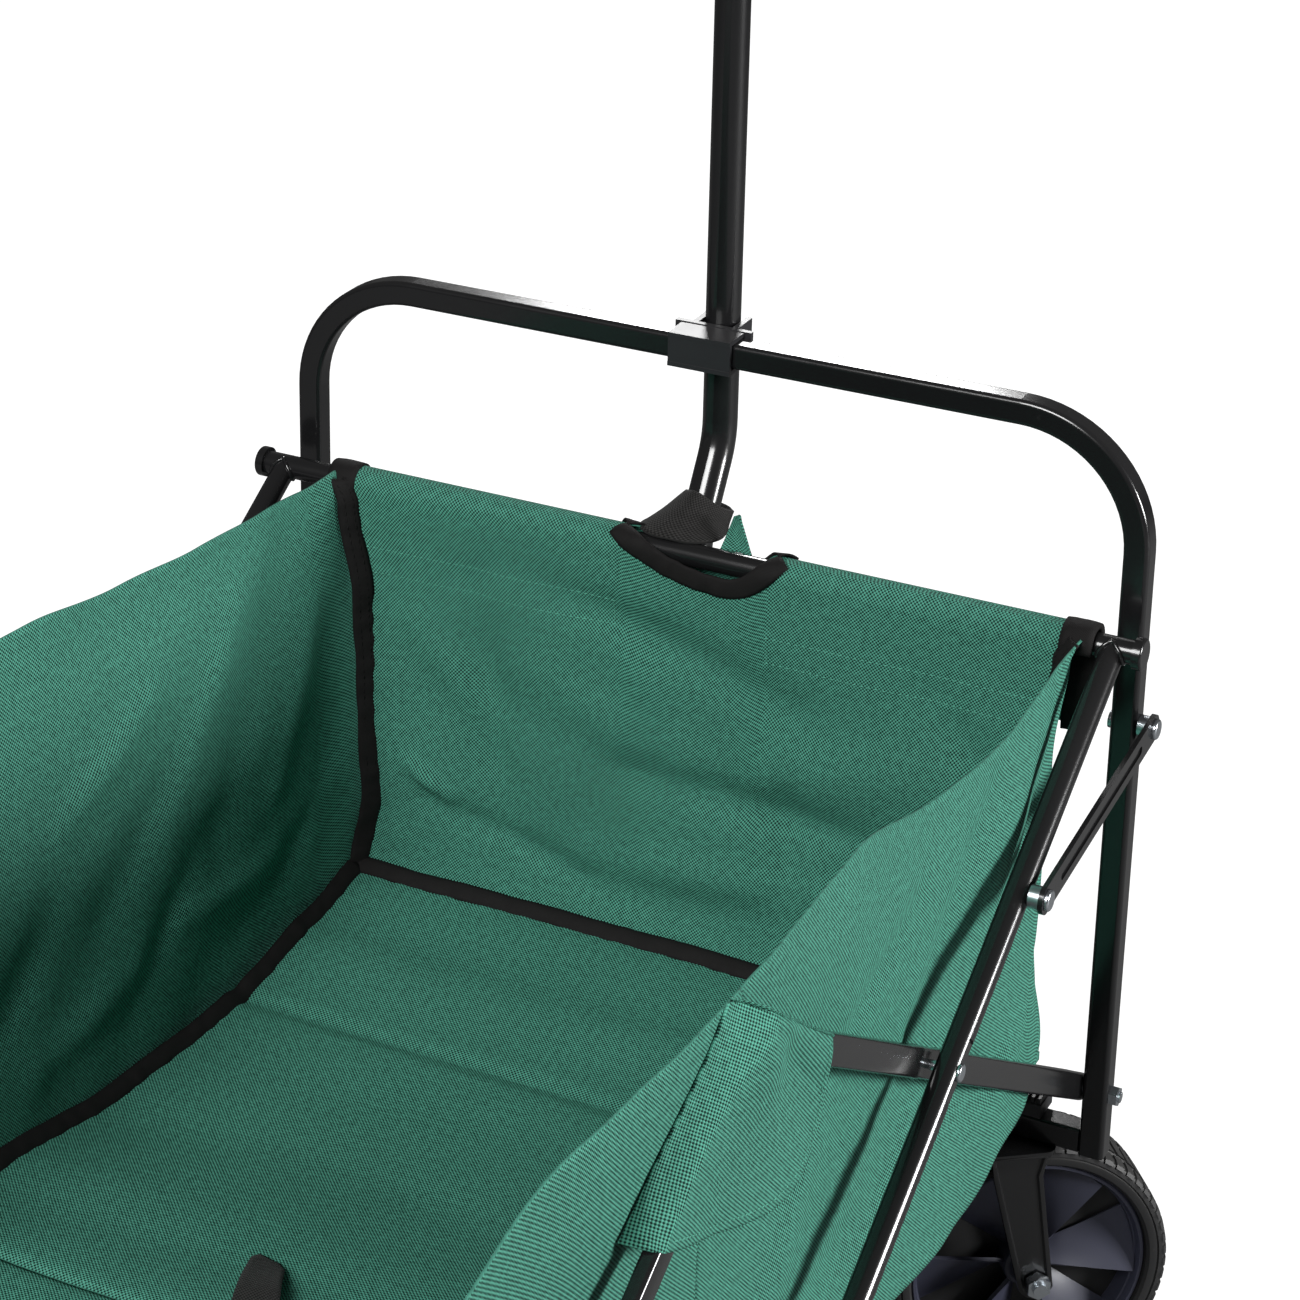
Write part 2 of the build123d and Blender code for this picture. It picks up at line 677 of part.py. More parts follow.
# ---- origin at the bottom centre, and one file for each piece --------------------
boxes = [shape.bounding_box() for shape in pieces.values()]
low = [min(getattr(box.min, axis) for box in boxes) for axis in "XYZ"]
high = [max(getattr(box.max, axis) for box in boxes) for axis in "XYZ"]
shift = Location((-(low[0] + high[0]) / 2, -(low[1] + high[1]) / 2, -low[2]))
print("origin moved by", tuple(round(value, 4) for value in shift.position))

os.makedirs("parts", exist_ok=True)
for name, shape in pieces.items():
    shape = shape.moved(shift)
    shape.label = name
    export_step(shape, f"parts/{name}.step")
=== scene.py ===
"""Folding camp wagon: sewn basket, wheels, painted steel and studio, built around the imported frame."""
from __future__ import annotations

import json
import logging
import math
from dataclasses import dataclass
from enum import Enum
from typing import Callable, Iterable, Sequence

import bmesh
import bpy
from mathutils import Matrix, Vector, noise

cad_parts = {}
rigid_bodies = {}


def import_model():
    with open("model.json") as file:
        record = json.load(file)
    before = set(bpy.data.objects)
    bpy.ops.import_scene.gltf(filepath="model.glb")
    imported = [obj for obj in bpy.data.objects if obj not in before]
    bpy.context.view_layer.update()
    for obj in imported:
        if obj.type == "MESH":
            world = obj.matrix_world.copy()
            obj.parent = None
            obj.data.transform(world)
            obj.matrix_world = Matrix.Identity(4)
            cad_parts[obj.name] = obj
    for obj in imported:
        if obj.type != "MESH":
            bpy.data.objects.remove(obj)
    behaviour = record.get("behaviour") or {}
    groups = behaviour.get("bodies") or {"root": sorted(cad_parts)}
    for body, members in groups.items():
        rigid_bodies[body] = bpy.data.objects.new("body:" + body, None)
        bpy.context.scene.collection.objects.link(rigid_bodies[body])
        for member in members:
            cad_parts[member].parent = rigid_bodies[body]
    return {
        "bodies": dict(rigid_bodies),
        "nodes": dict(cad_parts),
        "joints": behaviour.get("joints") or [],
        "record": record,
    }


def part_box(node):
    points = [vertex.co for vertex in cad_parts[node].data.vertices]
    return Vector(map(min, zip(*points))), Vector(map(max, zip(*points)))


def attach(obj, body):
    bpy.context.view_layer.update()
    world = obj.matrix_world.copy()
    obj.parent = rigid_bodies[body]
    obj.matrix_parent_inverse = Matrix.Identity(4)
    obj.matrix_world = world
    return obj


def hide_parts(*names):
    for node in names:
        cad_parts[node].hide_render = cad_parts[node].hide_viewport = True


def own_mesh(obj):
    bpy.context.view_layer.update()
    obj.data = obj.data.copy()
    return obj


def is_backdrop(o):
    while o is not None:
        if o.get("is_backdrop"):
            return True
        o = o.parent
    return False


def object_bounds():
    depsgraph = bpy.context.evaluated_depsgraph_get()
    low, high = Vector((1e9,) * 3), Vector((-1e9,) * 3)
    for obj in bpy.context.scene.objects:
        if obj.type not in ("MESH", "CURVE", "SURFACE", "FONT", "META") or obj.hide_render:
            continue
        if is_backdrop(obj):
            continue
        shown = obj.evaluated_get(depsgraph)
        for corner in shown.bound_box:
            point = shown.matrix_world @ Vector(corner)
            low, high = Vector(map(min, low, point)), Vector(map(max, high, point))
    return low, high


LOG = logging.getLogger("wagon")
MM = 0.001
WEAVE_PITCH = 2.1          # millimetres between the cloth's threads
TAPE_WIDTH = 10.0          # binding tape
TOP_Z = 560.0              # top of the U frames in the builder's own millimetres
HUB_Z = 46.0               # axles, in the same millimetres
HEM_Y, HEM_Z = -419.8, 447.0   # hem bar's axis
BAR_SLOPE = math.atan2(278.0, 451.5)   # lift bars above the level


class Side(Enum):
    """Left and right, as seen by the person who pulls."""

    LEFT = 1
    RIGHT = -1

    @property
    def label(self) -> str:
        """Word used in the names of nodes and pieces."""
        return self.name.lower()


class End(Enum):
    """Handle end and tail end of the wagon."""

    FRONT = -1
    REAR = 1

    @property
    def label(self) -> str:
        """Word used in the names of nodes, bodies and pieces."""
        return self.name.lower()


def smooth(x: float) -> float:
    """Eases from 0 to 1 as x goes from 0 to 1."""
    x = min(1.0, max(0.0, x))
    return x * x * (3 - 2 * x)


def mix(a: float, b: float, t: float) -> float:
    """Goes from a to b as t goes from 0 to 1."""
    return a + (b - a) * t


def bump(x: float, centre: float, width: float) -> float:
    """A bell of height 1 at the centre."""
    return math.exp(-(((x - centre) / width) ** 2))


def through(x: float, knots: Sequence[tuple[float, float]]) -> float:
    """Smooth curve through a few knots.

    Args:
        x: Where to read the curve.
        knots: Pairs of place and value, in rising order.

    Returns:
        The value at x, level outside the first and last knot.
    """
    if x <= knots[0][0]:
        return knots[0][1]
    for (x0, y0), (x1, y1) in zip(knots, knots[1:]):
        if x <= x1:
            return mix(y0, y1, smooth((x - x0) / (x1 - x0)))
    return knots[-1][1]


def ripple(x: float, y: float, z: float, size: float) -> float:
    """Even noise from -1 to 1 whose hills are about size millimetres wide."""
    return noise.noise(Vector((x, y, z)) / size)


@dataclass(frozen=True)
class Datum:
    """Where the folding frame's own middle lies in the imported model."""

    dx: float
    dy: float
    dz: float

    @classmethod
    def read(cls) -> "Datum":
        """Finds the middle between the two U frames.

        Returns:
            The datum, in metres.
        """
        low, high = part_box("front_u_frame")
        back_low, back_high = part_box("rear_u_frame")
        return cls((low.x + high.x) / 2, (low.y + high.y + back_low.y + back_high.y) / 4, high.z - TOP_Z * MM)

    def at(self, x: float, y: float, z: float) -> Vector:
        """Turns millimetres about the frame's middle into the model's metres."""
        return Vector((x * MM + self.dx, y * MM + self.dy, z * MM + self.dz))


# ---- finishes ---------------------------------------------------------------------


class Graph:
    """Adds and joins nodes in one tree."""

    def __init__(self, tree: bpy.types.NodeTree) -> None:
        """Keeps the tree that the nodes go in."""
        self.tree = tree

    def add(self, kind: str, **settings: object) -> bpy.types.Node:
        """Adds a node.

        Args:
            kind: Blender's name of the node's class.
            **settings: Properties of the node.

        Returns:
            The new node.
        """
        node = self.tree.nodes.new(kind)
        for name, value in settings.items():
            setattr(node, name, value)
        return node

    def join(self, start: bpy.types.NodeSocket, end: bpy.types.NodeSocket) -> None:
        """Links an output to an input."""
        self.tree.links.new(start, end)

    def math(self, operation: str, first: object, second: object = 0.0) -> bpy.types.NodeSocket:
        """Adds a Math node.

        Args:
            operation: The node's operation.
            first: A number, or the output that feeds the first input.
            second: A number, or the output that feeds the second input.

        Returns:
            The node's output.
        """
        node = self.add("ShaderNodeMath", operation=operation)
        for socket, value in zip(node.inputs, (first, second)):
            if isinstance(value, bpy.types.NodeSocket):
                self.join(value, socket)
            else:
                socket.default_value = value
        return node.outputs[0]

    def blend(self, factor: object, first: object, second: object) -> bpy.types.NodeSocket:
        """Mixes two colours.

        Args:
            factor: Number or output for the share of the second colour.
            first: Colour or output.
            second: Colour or output.

        Returns:
            The mixed colour's output.
        """
        node = self.add("ShaderNodeMix", data_type="RGBA")
        for index, value in ((0, factor), (6, first), (7, second)):
            socket = node.inputs[index]
            if isinstance(value, bpy.types.NodeSocket):
                self.join(value, socket)
            else:
                socket.default_value = value
        return node.outputs[2]


def open_group(
    name: str, inputs: Iterable[tuple[str, str, object]], outputs: Iterable[tuple[str, str]]
) -> tuple[Graph, bpy.types.Node, bpy.types.Node]:
    """Starts a shader node group with named sockets.

    Args:
        name: The group's name.
        inputs: Name, socket kind and first value of each input.
        outputs: Name and socket kind of each output.

    Returns:
        The group's graph, its input node and its output node.
    """
    tree = bpy.data.node_groups.new(name, "ShaderNodeTree")
    for label, kind, value in inputs:
        socket = tree.interface.new_socket(name=label, in_out="INPUT", socket_type=kind)
        socket.default_value = value
    for label, kind in outputs:
        tree.interface.new_socket(name=label, in_out="OUTPUT", socket_type=kind)
    graph = Graph(tree)
    return graph, graph.add("NodeGroupInput"), graph.add("NodeGroupOutput")


FLOAT, COLOUR = "NodeSocketFloat", "NodeSocketColor"
BLACK = (0.0, 0.0, 0.0, 1.0)


class Effects:
    """Node groups that several finishes share."""

    def __init__(self) -> None:
        """Builds each group once."""
        self.weave = self.build_weave()
        self.grain = self.build_grain()
        self.wear = self.build_wear()

    @staticmethod
    def build_weave() -> bpy.types.NodeTree:
        """Plain weave on the cloth's own map, with slubs and a slow change of shade.

        Returns:
            The node group.
        """
        g, given, out = open_group(
            "plain_weave",
            [("Thread", COLOUR, BLACK), ("Gap", COLOUR, BLACK), ("Pitch", FLOAT, 0.0015),
             ("Contrast", FLOAT, 0.5), ("Mottle", FLOAT, 0.1)],
            [("Color", COLOUR), ("Height", FLOAT), ("Roughness", FLOAT)],
        )
        uv = g.add("ShaderNodeUVMap", uv_map="cloth")
        split = g.add("ShaderNodeSeparateXYZ")
        g.join(uv.outputs["UV"], split.inputs[0])
        turn = g.math("DIVIDE", 2 * math.pi, given.outputs["Pitch"])
        u = g.math("SINE", g.math("MULTIPLY", split.outputs[0], turn))
        v = g.math("SINE", g.math("MULTIPLY", split.outputs[1], turn))
        height = g.math("MULTIPLY_ADD", g.math("MULTIPLY", u, v), 0.5)
        height.node.inputs[2].default_value = 0.5
        slub = g.add("ShaderNodeTexNoise", noise_dimensions="3D")
        slub.inputs["Scale"].default_value = 260.0
        slub.inputs["Detail"].default_value = 1.0
        g.join(uv.outputs["UV"], slub.inputs["Vector"])
        shade = g.add("ShaderNodeTexNoise", noise_dimensions="3D")
        shade.inputs["Scale"].default_value = 14.0
        shade.inputs["Detail"].default_value = 3.0
        g.join(uv.outputs["UV"], shade.inputs["Vector"])
        lift = g.math("MULTIPLY", g.math("SUBTRACT", slub.outputs["Fac"], 0.5), 0.35)
        woven = g.math("MULTIPLY", g.math("SUBTRACT", g.math("ADD", height, lift), 0.22), 1.8)
        woven.node.use_clamp = True
        share = g.math("MULTIPLY", g.math("SUBTRACT", 1.0, woven), given.outputs["Contrast"])
        share.node.use_clamp = True
        colour = g.blend(share, given.outputs["Thread"], given.outputs["Gap"])
        dull = g.math("MULTIPLY", g.math("SUBTRACT", shade.outputs["Fac"], 0.5), given.outputs["Mottle"])
        tint = g.add("ShaderNodeHueSaturation")
        g.join(g.math("ADD", dull, 1.0), tint.inputs["Value"])
        g.join(colour, tint.inputs["Color"])
        g.join(tint.outputs["Color"], out.inputs["Color"])
        g.join(height, out.inputs["Height"])
        rough = g.math("ADD", g.math("MULTIPLY", slub.outputs["Fac"], 0.2), 0.68)
        g.join(rough, out.inputs["Roughness"])
        return g.tree

    @staticmethod
    def build_grain() -> bpy.types.NodeTree:
        """Fine unevenness of paint, rubber and moulded plastic.

        Returns:
            The node group.
        """
        g, given, out = open_group(
            "surface_grain",
            [("Scale", FLOAT, 300.0), ("Roughness", FLOAT, 0.4), ("Spread", FLOAT, 0.1)],
            [("Roughness", FLOAT), ("Height", FLOAT)],
        )
        where = g.add("ShaderNodeTexCoord")
        fine = g.add("ShaderNodeTexNoise")
        fine.inputs["Detail"].default_value = 3.0
        g.join(where.outputs["Object"], fine.inputs["Vector"])
        g.join(given.outputs["Scale"], fine.inputs["Scale"])
        patch = g.add("ShaderNodeTexNoise")
        patch.inputs["Scale"].default_value = 22.0
        patch.inputs["Detail"].default_value = 4.0
        g.join(where.outputs["Object"], patch.inputs["Vector"])
        swing = g.math("MULTIPLY", g.math("SUBTRACT", patch.outputs["Fac"], 0.5), given.outputs["Spread"])
        g.join(g.math("ADD", given.outputs["Roughness"], swing), out.inputs["Roughness"])
        g.join(fine.outputs["Fac"], out.inputs["Height"])
        return g.tree

    @staticmethod
    def build_wear() -> bpy.types.NodeTree:
        """Small scuffs and settled dust over a base colour.

        Returns:
            The node group.
        """
        g, given, out = open_group(
            "scuffs_and_dust",
            [("Base", COLOUR, BLACK), ("Scuff", COLOUR, BLACK), ("Dust", COLOUR, BLACK),
             ("Scuffs", FLOAT, 0.1), ("Dusting", FLOAT, 0.1)],
            [("Color", COLOUR), ("Mask", FLOAT)],
        )
        where = g.add("ShaderNodeTexCoord")
        spots = g.add("ShaderNodeTexNoise")
        spots.inputs["Scale"].default_value = 120.0
        spots.inputs["Detail"].default_value = 5.0
        spots.inputs["Roughness"].default_value = 0.7
        g.join(where.outputs["Object"], spots.inputs["Vector"])
        chosen = g.add("ShaderNodeMapRange")
        chosen.inputs["From Min"].default_value = 0.66
        chosen.inputs["From Max"].default_value = 0.76
        g.join(spots.outputs["Fac"], chosen.inputs["Value"])
        scuffed = g.math("MULTIPLY", chosen.outputs["Result"], given.outputs["Scuffs"])
        first = g.blend(scuffed, given.outputs["Base"], given.outputs["Scuff"])
        cloud = g.add("ShaderNodeTexNoise")
        cloud.inputs["Scale"].default_value = 9.0
        cloud.inputs["Detail"].default_value = 6.0
        g.join(where.outputs["Object"], cloud.inputs["Vector"])
        facing = g.add("ShaderNodeNewGeometry")
        split = g.add("ShaderNodeSeparateXYZ")
        g.join(facing.outputs["Normal"], split.inputs[0])
        up = g.math("MULTIPLY", split.outputs[2], cloud.outputs["Fac"])
        up.node.use_clamp = True
        dusty = g.math("MULTIPLY", up, given.outputs["Dusting"])
        g.join(g.blend(dusty, first, given.outputs["Dust"]), out.inputs["Color"])
        g.join(scuffed, out.inputs["Mask"])
        return g.tree


@dataclass(frozen=True)
class Cloth:
    """A woven finish that reads its own map."""

    name: str
    thread: tuple[float, float, float]
    gap: tuple[float, float, float]
    pitch: float
    contrast: float
    depth: float
    mottle: float = 0.16
    sheen: float = 0.06

    def make(self, effects: Effects) -> bpy.types.Material:
        """Builds the material.

        Args:
            effects: The shared node groups.

        Returns:
            The new material.
        """
        material = bpy.data.materials.new(self.name)
        material.use_nodes = True
        g = Graph(material.node_tree)
        shader = material.node_tree.nodes["Principled BSDF"]
        weave = g.add("ShaderNodeGroup", node_tree=effects.weave)
        weave.inputs["Thread"].default_value = (*self.thread, 1)
        weave.inputs["Gap"].default_value = (*self.gap, 1)
        weave.inputs["Pitch"].default_value = self.pitch * MM
        weave.inputs["Contrast"].default_value = self.contrast
        weave.inputs["Mottle"].default_value = self.mottle
        g.join(weave.outputs["Color"], shader.inputs["Base Color"])
        g.join(weave.outputs["Roughness"], shader.inputs["Roughness"])
        relief = g.add("ShaderNodeBump")
        relief.inputs["Distance"].default_value = self.depth * MM
        relief.inputs["Strength"].default_value = 0.8
        g.join(weave.outputs["Height"], relief.inputs["Height"])
        g.join(relief.outputs["Normal"], shader.inputs["Normal"])
        shader.inputs["Sheen Weight"].default_value = self.sheen
        shader.inputs["Sheen Roughness"].default_value = 0.5
        shader.inputs["Specular IOR Level"].default_value = 0.16
        return material


@dataclass(frozen=True)
class Hard:
    """A painted, plated, moulded or rubber finish."""

    name: str
    base: tuple[float, float, float]
    roughness: float
    metallic: float = 0.0
    grain: float = 300.0
    depth: float = 0.05
    scuffs: float = 0.2
    dusting: float = 0.06
    coat: float = 0.0
    spread: float = 0.12

    def make(self, effects: Effects) -> bpy.types.Material:
        """Builds the material.

        Args:
            effects: The shared node groups.

        Returns:
            The new material.
        """
        material = bpy.data.materials.new(self.name)
        material.use_nodes = True
        g = Graph(material.node_tree)
        shader = material.node_tree.nodes["Principled BSDF"]
        wear = g.add("ShaderNodeGroup", node_tree=effects.wear)
        wear.inputs["Base"].default_value = (*self.base, 1)
        pale = tuple(min(1.0, 0.06 + 1.4 * part) for part in self.base)
        wear.inputs["Scuff"].default_value = (*pale, 1)
        wear.inputs["Dust"].default_value = (0.32, 0.31, 0.29, 1)
        wear.inputs["Scuffs"].default_value = self.scuffs
        wear.inputs["Dusting"].default_value = self.dusting
        g.join(wear.outputs["Color"], shader.inputs["Base Color"])
        grain = g.add("ShaderNodeGroup", node_tree=effects.grain)
        grain.inputs["Scale"].default_value = self.grain
        grain.inputs["Roughness"].default_value = self.roughness
        grain.inputs["Spread"].default_value = self.spread
        g.join(grain.outputs["Roughness"], shader.inputs["Roughness"])
        relief = g.add("ShaderNodeBump")
        relief.inputs["Distance"].default_value = self.depth * MM
        relief.inputs["Strength"].default_value = 0.6
        g.join(grain.outputs["Height"], relief.inputs["Height"])
        g.join(relief.outputs["Normal"], shader.inputs["Normal"])
        shader.inputs["Metallic"].default_value = self.metallic
        shader.inputs["Coat Weight"].default_value = self.coat
        shader.inputs["Coat Roughness"].default_value = 0.12
        return material


class Finish(Enum):
    """The wagon's finishes, each with the record's slot that it belongs to."""

    GREEN = ("green_fabric", Cloth("green_oxford_cloth", (0.092, 0.345, 0.255), (0.001, 0.012, 0.009),
                                   WEAVE_PITCH, 1.0, 0.5, 0.16, 0.0))
    STITCH = ("green_fabric", Cloth("green_sewing_thread", (0.12, 0.40, 0.30), (0.05, 0.24, 0.17),
                                    0.5, 0.5, 0.05))
    TAPE = ("black_webbing", Cloth("black_binding_tape", (0.011, 0.010, 0.010), (0.002, 0.002, 0.002),
                                   0.9, 0.6, 0.1, 0.5, 0.0))
    WEBBING = ("black_webbing", Cloth("black_webbing_weave", (0.030, 0.029, 0.028), (0.001, 0.001, 0.001),
                                      2.3, 0.9, 0.4, 0.2, 0.04))
    PAINT = ("black_steel", Hard("black_gloss_paint", (0.0075, 0.0075, 0.008), 0.20, 0.0, 420.0, 0.02,
                                 0.2, 0.02, 0.25))
    ZINC = ("zinc", Hard("bright_zinc_plate", (0.62, 0.66, 0.70), 0.26, 1.0, 700.0, 0.03, 0.3, 0.04))
    RUBBER = ("tyre_rubber", Hard("black_tyre_rubber", (0.012, 0.012, 0.0125), 0.58, 0.0, 900.0, 0.08,
                                  0.3, 0.10))
    SLATE = ("wheel_plastic", Hard("slate_moulded_plastic", (0.036, 0.038, 0.060), 0.40, 0.0, 1200.0, 0.04,
                                   0.15, 0.05))
    PLASTIC = ("black_plastic", Hard("black_moulded_plastic", (0.016, 0.016, 0.018), 0.40, 0.0, 1000.0,
                                     0.05, 0.2, 0.08))

    def __init__(self, slot: str, recipe: Cloth | Hard) -> None:
        """Keeps the slot's name and the recipe."""
        self.slot = slot
        self.recipe = recipe


class Paints:
    """Builds each finish's material once."""

    def __init__(self) -> None:
        """Starts with the shared groups and no materials."""
        self.effects = Effects()
        self.made: dict[Finish, bpy.types.Material] = {}

    def of(self, finish: Finish) -> bpy.types.Material:
        """Gives the finish's material.

        Args:
            finish: The finish wanted.

        Returns:
            Its material.
        """
        if finish not in self.made:
            self.made[finish] = finish.recipe.make(self.effects)
        return self.made[finish]


# ---- making pieces ------------------------------------------------------------------


@dataclass
class Bench:
    """Turns finished meshes into pieces that ride on the frame."""

    datum: Datum
    paints: Paints

    def piece(
        self, bm: bmesh.types.BMesh, name: str, body: str, finish: Finish,
        replaces: Sequence[str] = (), crisp: float | None = None,
    ) -> bpy.types.Object:
        """Makes an object of a mesh and hands it to its body.

        Args:
            bm: The mesh, in the model's metres. It is freed.
            name: The piece's name.
            body: The body that it rides on.
            finish: Its finish.
            replaces: CAD nodes that it stands for.
            crisp: Angle in degrees past which edges stay sharp, or None.

        Returns:
            The new object.
        """
        mesh = bpy.data.meshes.new(name)
        bm.to_mesh(mesh)
        bm.free()
        mesh.materials.append(self.paints.of(finish))
        mesh.shade_smooth()
        if crisp is not None:
            mesh.set_sharp_from_angle(angle=math.radians(crisp))
        piece = bpy.data.objects.new(name, mesh)
        bpy.context.scene.collection.objects.link(piece)
        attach(piece, body)
        if replaces:
            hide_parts(*replaces)
        LOG.info("%s: %d faces on %s", name, len(mesh.polygons), body)
        return piece

    def cloth(
        self, columns: int, rows: int, place: Callable[[float, float], Vector],
        chart: Callable[[float, float], tuple[float, float]],
    ) -> bmesh.types.BMesh:
        """Lays a grid over a curved sheet.

        Args:
            columns: Faces along the first direction.
            rows: Faces along the second.
            place: Gives a point in metres for two shares from 0 to 1.
            chart: Gives the point's place on the flat cloth, in metres.

        Returns:
            The mesh with its cloth map.
        """
        bm = bmesh.new()
        bmesh.ops.create_grid(bm, x_segments=columns, y_segments=rows, size=1.0)
        layer = bm.loops.layers.uv.new("cloth")
        shares = {v: ((v.co.x + 1) / 2, (v.co.y + 1) / 2) for v in bm.verts}
        for face in bm.faces:
            for loop in face.loops:
                loop[layer].uv = chart(*shares[loop.vert])
        for vert, (a, b) in shares.items():
            vert.co = place(a, b)
        return bm

    def thicken(self, piece: bpy.types.Object, thickness: float, offset: float = 0.0) -> None:
        """Gives a sheet its thickness in millimetres."""
        wall = piece.modifiers.new("wall", "SOLIDIFY")
        wall.thickness = thickness * MM
        wall.offset = offset


def grow(
    bm: bmesh.types.BMesh, ring: Sequence[bmesh.types.BMVert], stations: Sequence[Callable[[int], Vector]]
) -> None:
    """Extrudes a closed ring of vertices from station to station and closes both ends.

    Args:
        bm: The mesh.
        ring: The first ring, in order round the section.
        stations: For each further ring, a function from the vertex's number to its place.
    """
    edges = [bm.edges.get((ring[i - 1], ring[i])) for i in range(len(ring))]
    first = list(ring)
    for place in stations:
        made = bmesh.ops.extrude_edge_only(bm, edges=edges)
        fresh = [part for part in made["geom"] if isinstance(part, bmesh.types.BMVert)]
        paired = {edge.other_vert(vert): vert for vert in fresh for edge in vert.link_edges
                  if edge.other_vert(vert) in ring}
        ring = [paired[vert] for vert in ring]
        for number, vert in enumerate(ring):
            vert.co = place(number)
        edges = [bm.edges.get((ring[i - 1], ring[i])) for i in range(len(ring))]
    for loop in (first, ring):
        bm.faces.new(loop)
    bmesh.ops.recalc_face_normals(bm, faces=bm.faces)


# ---- the sewn basket ------------------------------------------------------------------


@dataclass(frozen=True)
class Crease:
    """A soft ridge, or a hollow where depth is negative, between two points of a sheet."""

    start: tuple[float, float]
    end: tuple[float, float]
    width: float
    depth: float

    def height(self, a: float, b: float) -> float:
        """Gives its height at a point, fading past both ends.

        Args:
            a: First coordinate in millimetres.
            b: Second coordinate in millimetres.

        Returns:
            The height in millimetres.
        """
        run = Vector(self.end) - Vector(self.start)
        away = Vector((a, b)) - Vector(self.start)
        share = min(1.0, max(0.0, away.dot(run) / run.length_squared))
        near = (away - run * share).length
        body = 0.35 + 0.65 * math.sin(math.pi * min(0.9, max(0.1, share)))
        return self.depth * body * math.exp(-((near / self.width) ** 2))


END_CREASES = (
    Crease((132, 408), (112, 270), 13, -4.5),
    Crease((112, 424), (-60, 372), 15, -4.2),
    Crease((170, 372), (104, 306), 12, 2.6),
    Crease((92, 360), (6, 322), 18, 3.6),
    Crease((30, 312), (-130, 300), 13, -4.8),
    Crease((-40, 330), (-150, 352), 20, 3.4),
    Crease((-57, 318), (-60, 262), 10, -3.2),
    Crease((172, 284), (148, 268), 5, 3.4),
    Crease((160, 262), (60, 238), 9, -3.0),
    Crease((60, 252), (-80, 262), 14, 3.6),
    Crease((-90, 280), (-190, 250), 12, -3.4),
    Crease((-140, 400), (-196, 330), 15, -3.2),
    Crease((196, 330), (186, 236), 10, 2.8),
    Crease((40, 386), (10, 340), 12, 2.0),
)

SIDE_CREASES = (
    Crease((-392, 418), (-330, 300), 14, -4.0),
    Crease((-350, 432), (-268, 300), 18, 3.6),
    Crease((-300, 420), (-220, 330), 13, -3.6),
    Crease((-262, 380), (-170, 300), 16, 3.4),
    Crease((-215, 398), (-140, 360), 11, -3.2),
    Crease((-385, 262), (-300, 222), 13, 3.6),
    Crease((-330, 250), (-235, 262), 11, -3.2),
    Crease((-240, 290), (-190, 226), 12, 3.0),
    Crease((-190, 250), (-110, 236), 14, -3.0),
    Crease((-120, 320), (-60, 250), 14, 2.8),
    Crease((-404, 300), (-372, 246), 9, -2.6),
)


@dataclass(frozen=True)
class Shape:
    """Where the basket's cloth hangs, in millimetres about the frame's middle."""

    hem_roll: float = 9.2
    half_hem: float = 219.0
    half_floor: float = 209.0
    corner_y: float = 410.6
    corner_z: float = 453.0

    def sway(self, y: float) -> float:
        """How far the cloth has slipped sideways along the front hem bar."""
        return -12.0 * smooth(-y / 330)

    def floor_z(self, y: float) -> float:
        """Height of the floor's upper face at y."""
        return through(abs(y), ((0, 208), (60, 204), (170, 191), (262, 189), (284, 191), (350, 200), (415, 208)))

    def corner(self, z: float) -> tuple[float, float]:
        """Half width and distance from the middle of a corner seam at height z."""
        half = through(z, ((185, 204), (212, 208), (268, 199), (330, 199), (385, 202), (440, 211), (458, 219)))
        return half, self.corner_y + 6.0 * bump(z, 238, 36)

    def side_top(self, y: float, side: Side) -> float:
        """Height of a side sheet's upper edge."""
        if side is Side.LEFT:
            return through(
                abs(y), ((0, 478), (126, 477), (200, 469), (265, 466), (330, 461), (411, self.corner_z + 2)),
            )
        level = through(abs(y), ((0, 469), (126, 468), (230, 450), (411, self.corner_z)))
        return level - 8.0 * bump(abs(y), 305, 62)

    def side_x(self, y: float, z: float, side: Side) -> float:
        """Half width of a side sheet at a place on it."""
        top, base = self.side_top(y, side), self.floor_z(y) - 9
        share = min(1.0, max(0.0, (top - z) / (top - base)))
        bulge = 11.0 * bump(abs(y), 0, 128) * (1 - smooth(share / 0.6))
        edge = mix(self.half_hem - 3, self.half_floor + 1.5, smooth(share))
        belly = 7.0 * bump(share, 0.93, 0.16) * bump(abs(y), 300, 105)
        slack = -5.0 * bump(share, 0.45, 0.28) * (1 - bump(abs(y), 411, 60))
        ends = min(1.0, (self.corner_y - abs(y)) / 34)
        mirror = -1 if y > 0 else 1
        folds = 1.25 * sum(crease.height(-abs(y), z) for crease in SIDE_CREASES)
        folds *= smooth((top - z) / 26) * smooth((z - base) / 16)
        loose = 3.4 * ripple(y * mirror, z * 0.8, 31 * side.value, 95) + 1.0 * ripple(y, z, 7 * side.value, 34)
        return edge + bulge + (belly + slack + folds + loose) * smooth(ends) + side.value * self.sway(y)

    def end_y(self, x: float, z: float, seed: float) -> float:
        """Distance from the middle of an end sheet's inner face, below its hem."""
        half, seam = self.corner(z)
        base = self.floor_z(415)
        inside = min(1.0, (half - abs(x)) / 26) if abs(x) < half else 0.0
        calm = smooth(inside) * smooth((z - base) / 24) * smooth((HEM_Z - 4 - z) / 40)
        folds = 1.5 * sum(crease.height(x, z) for crease in END_CREASES)
        sway = 5.0 * bump(z, 320, 70) * (1 - (x / half) ** 2)
        loose = 3.6 * ripple(x, z, seed, 110) + 0.9 * ripple(x, z, seed + 5, 36)
        return seam + (sway - folds - loose) * calm


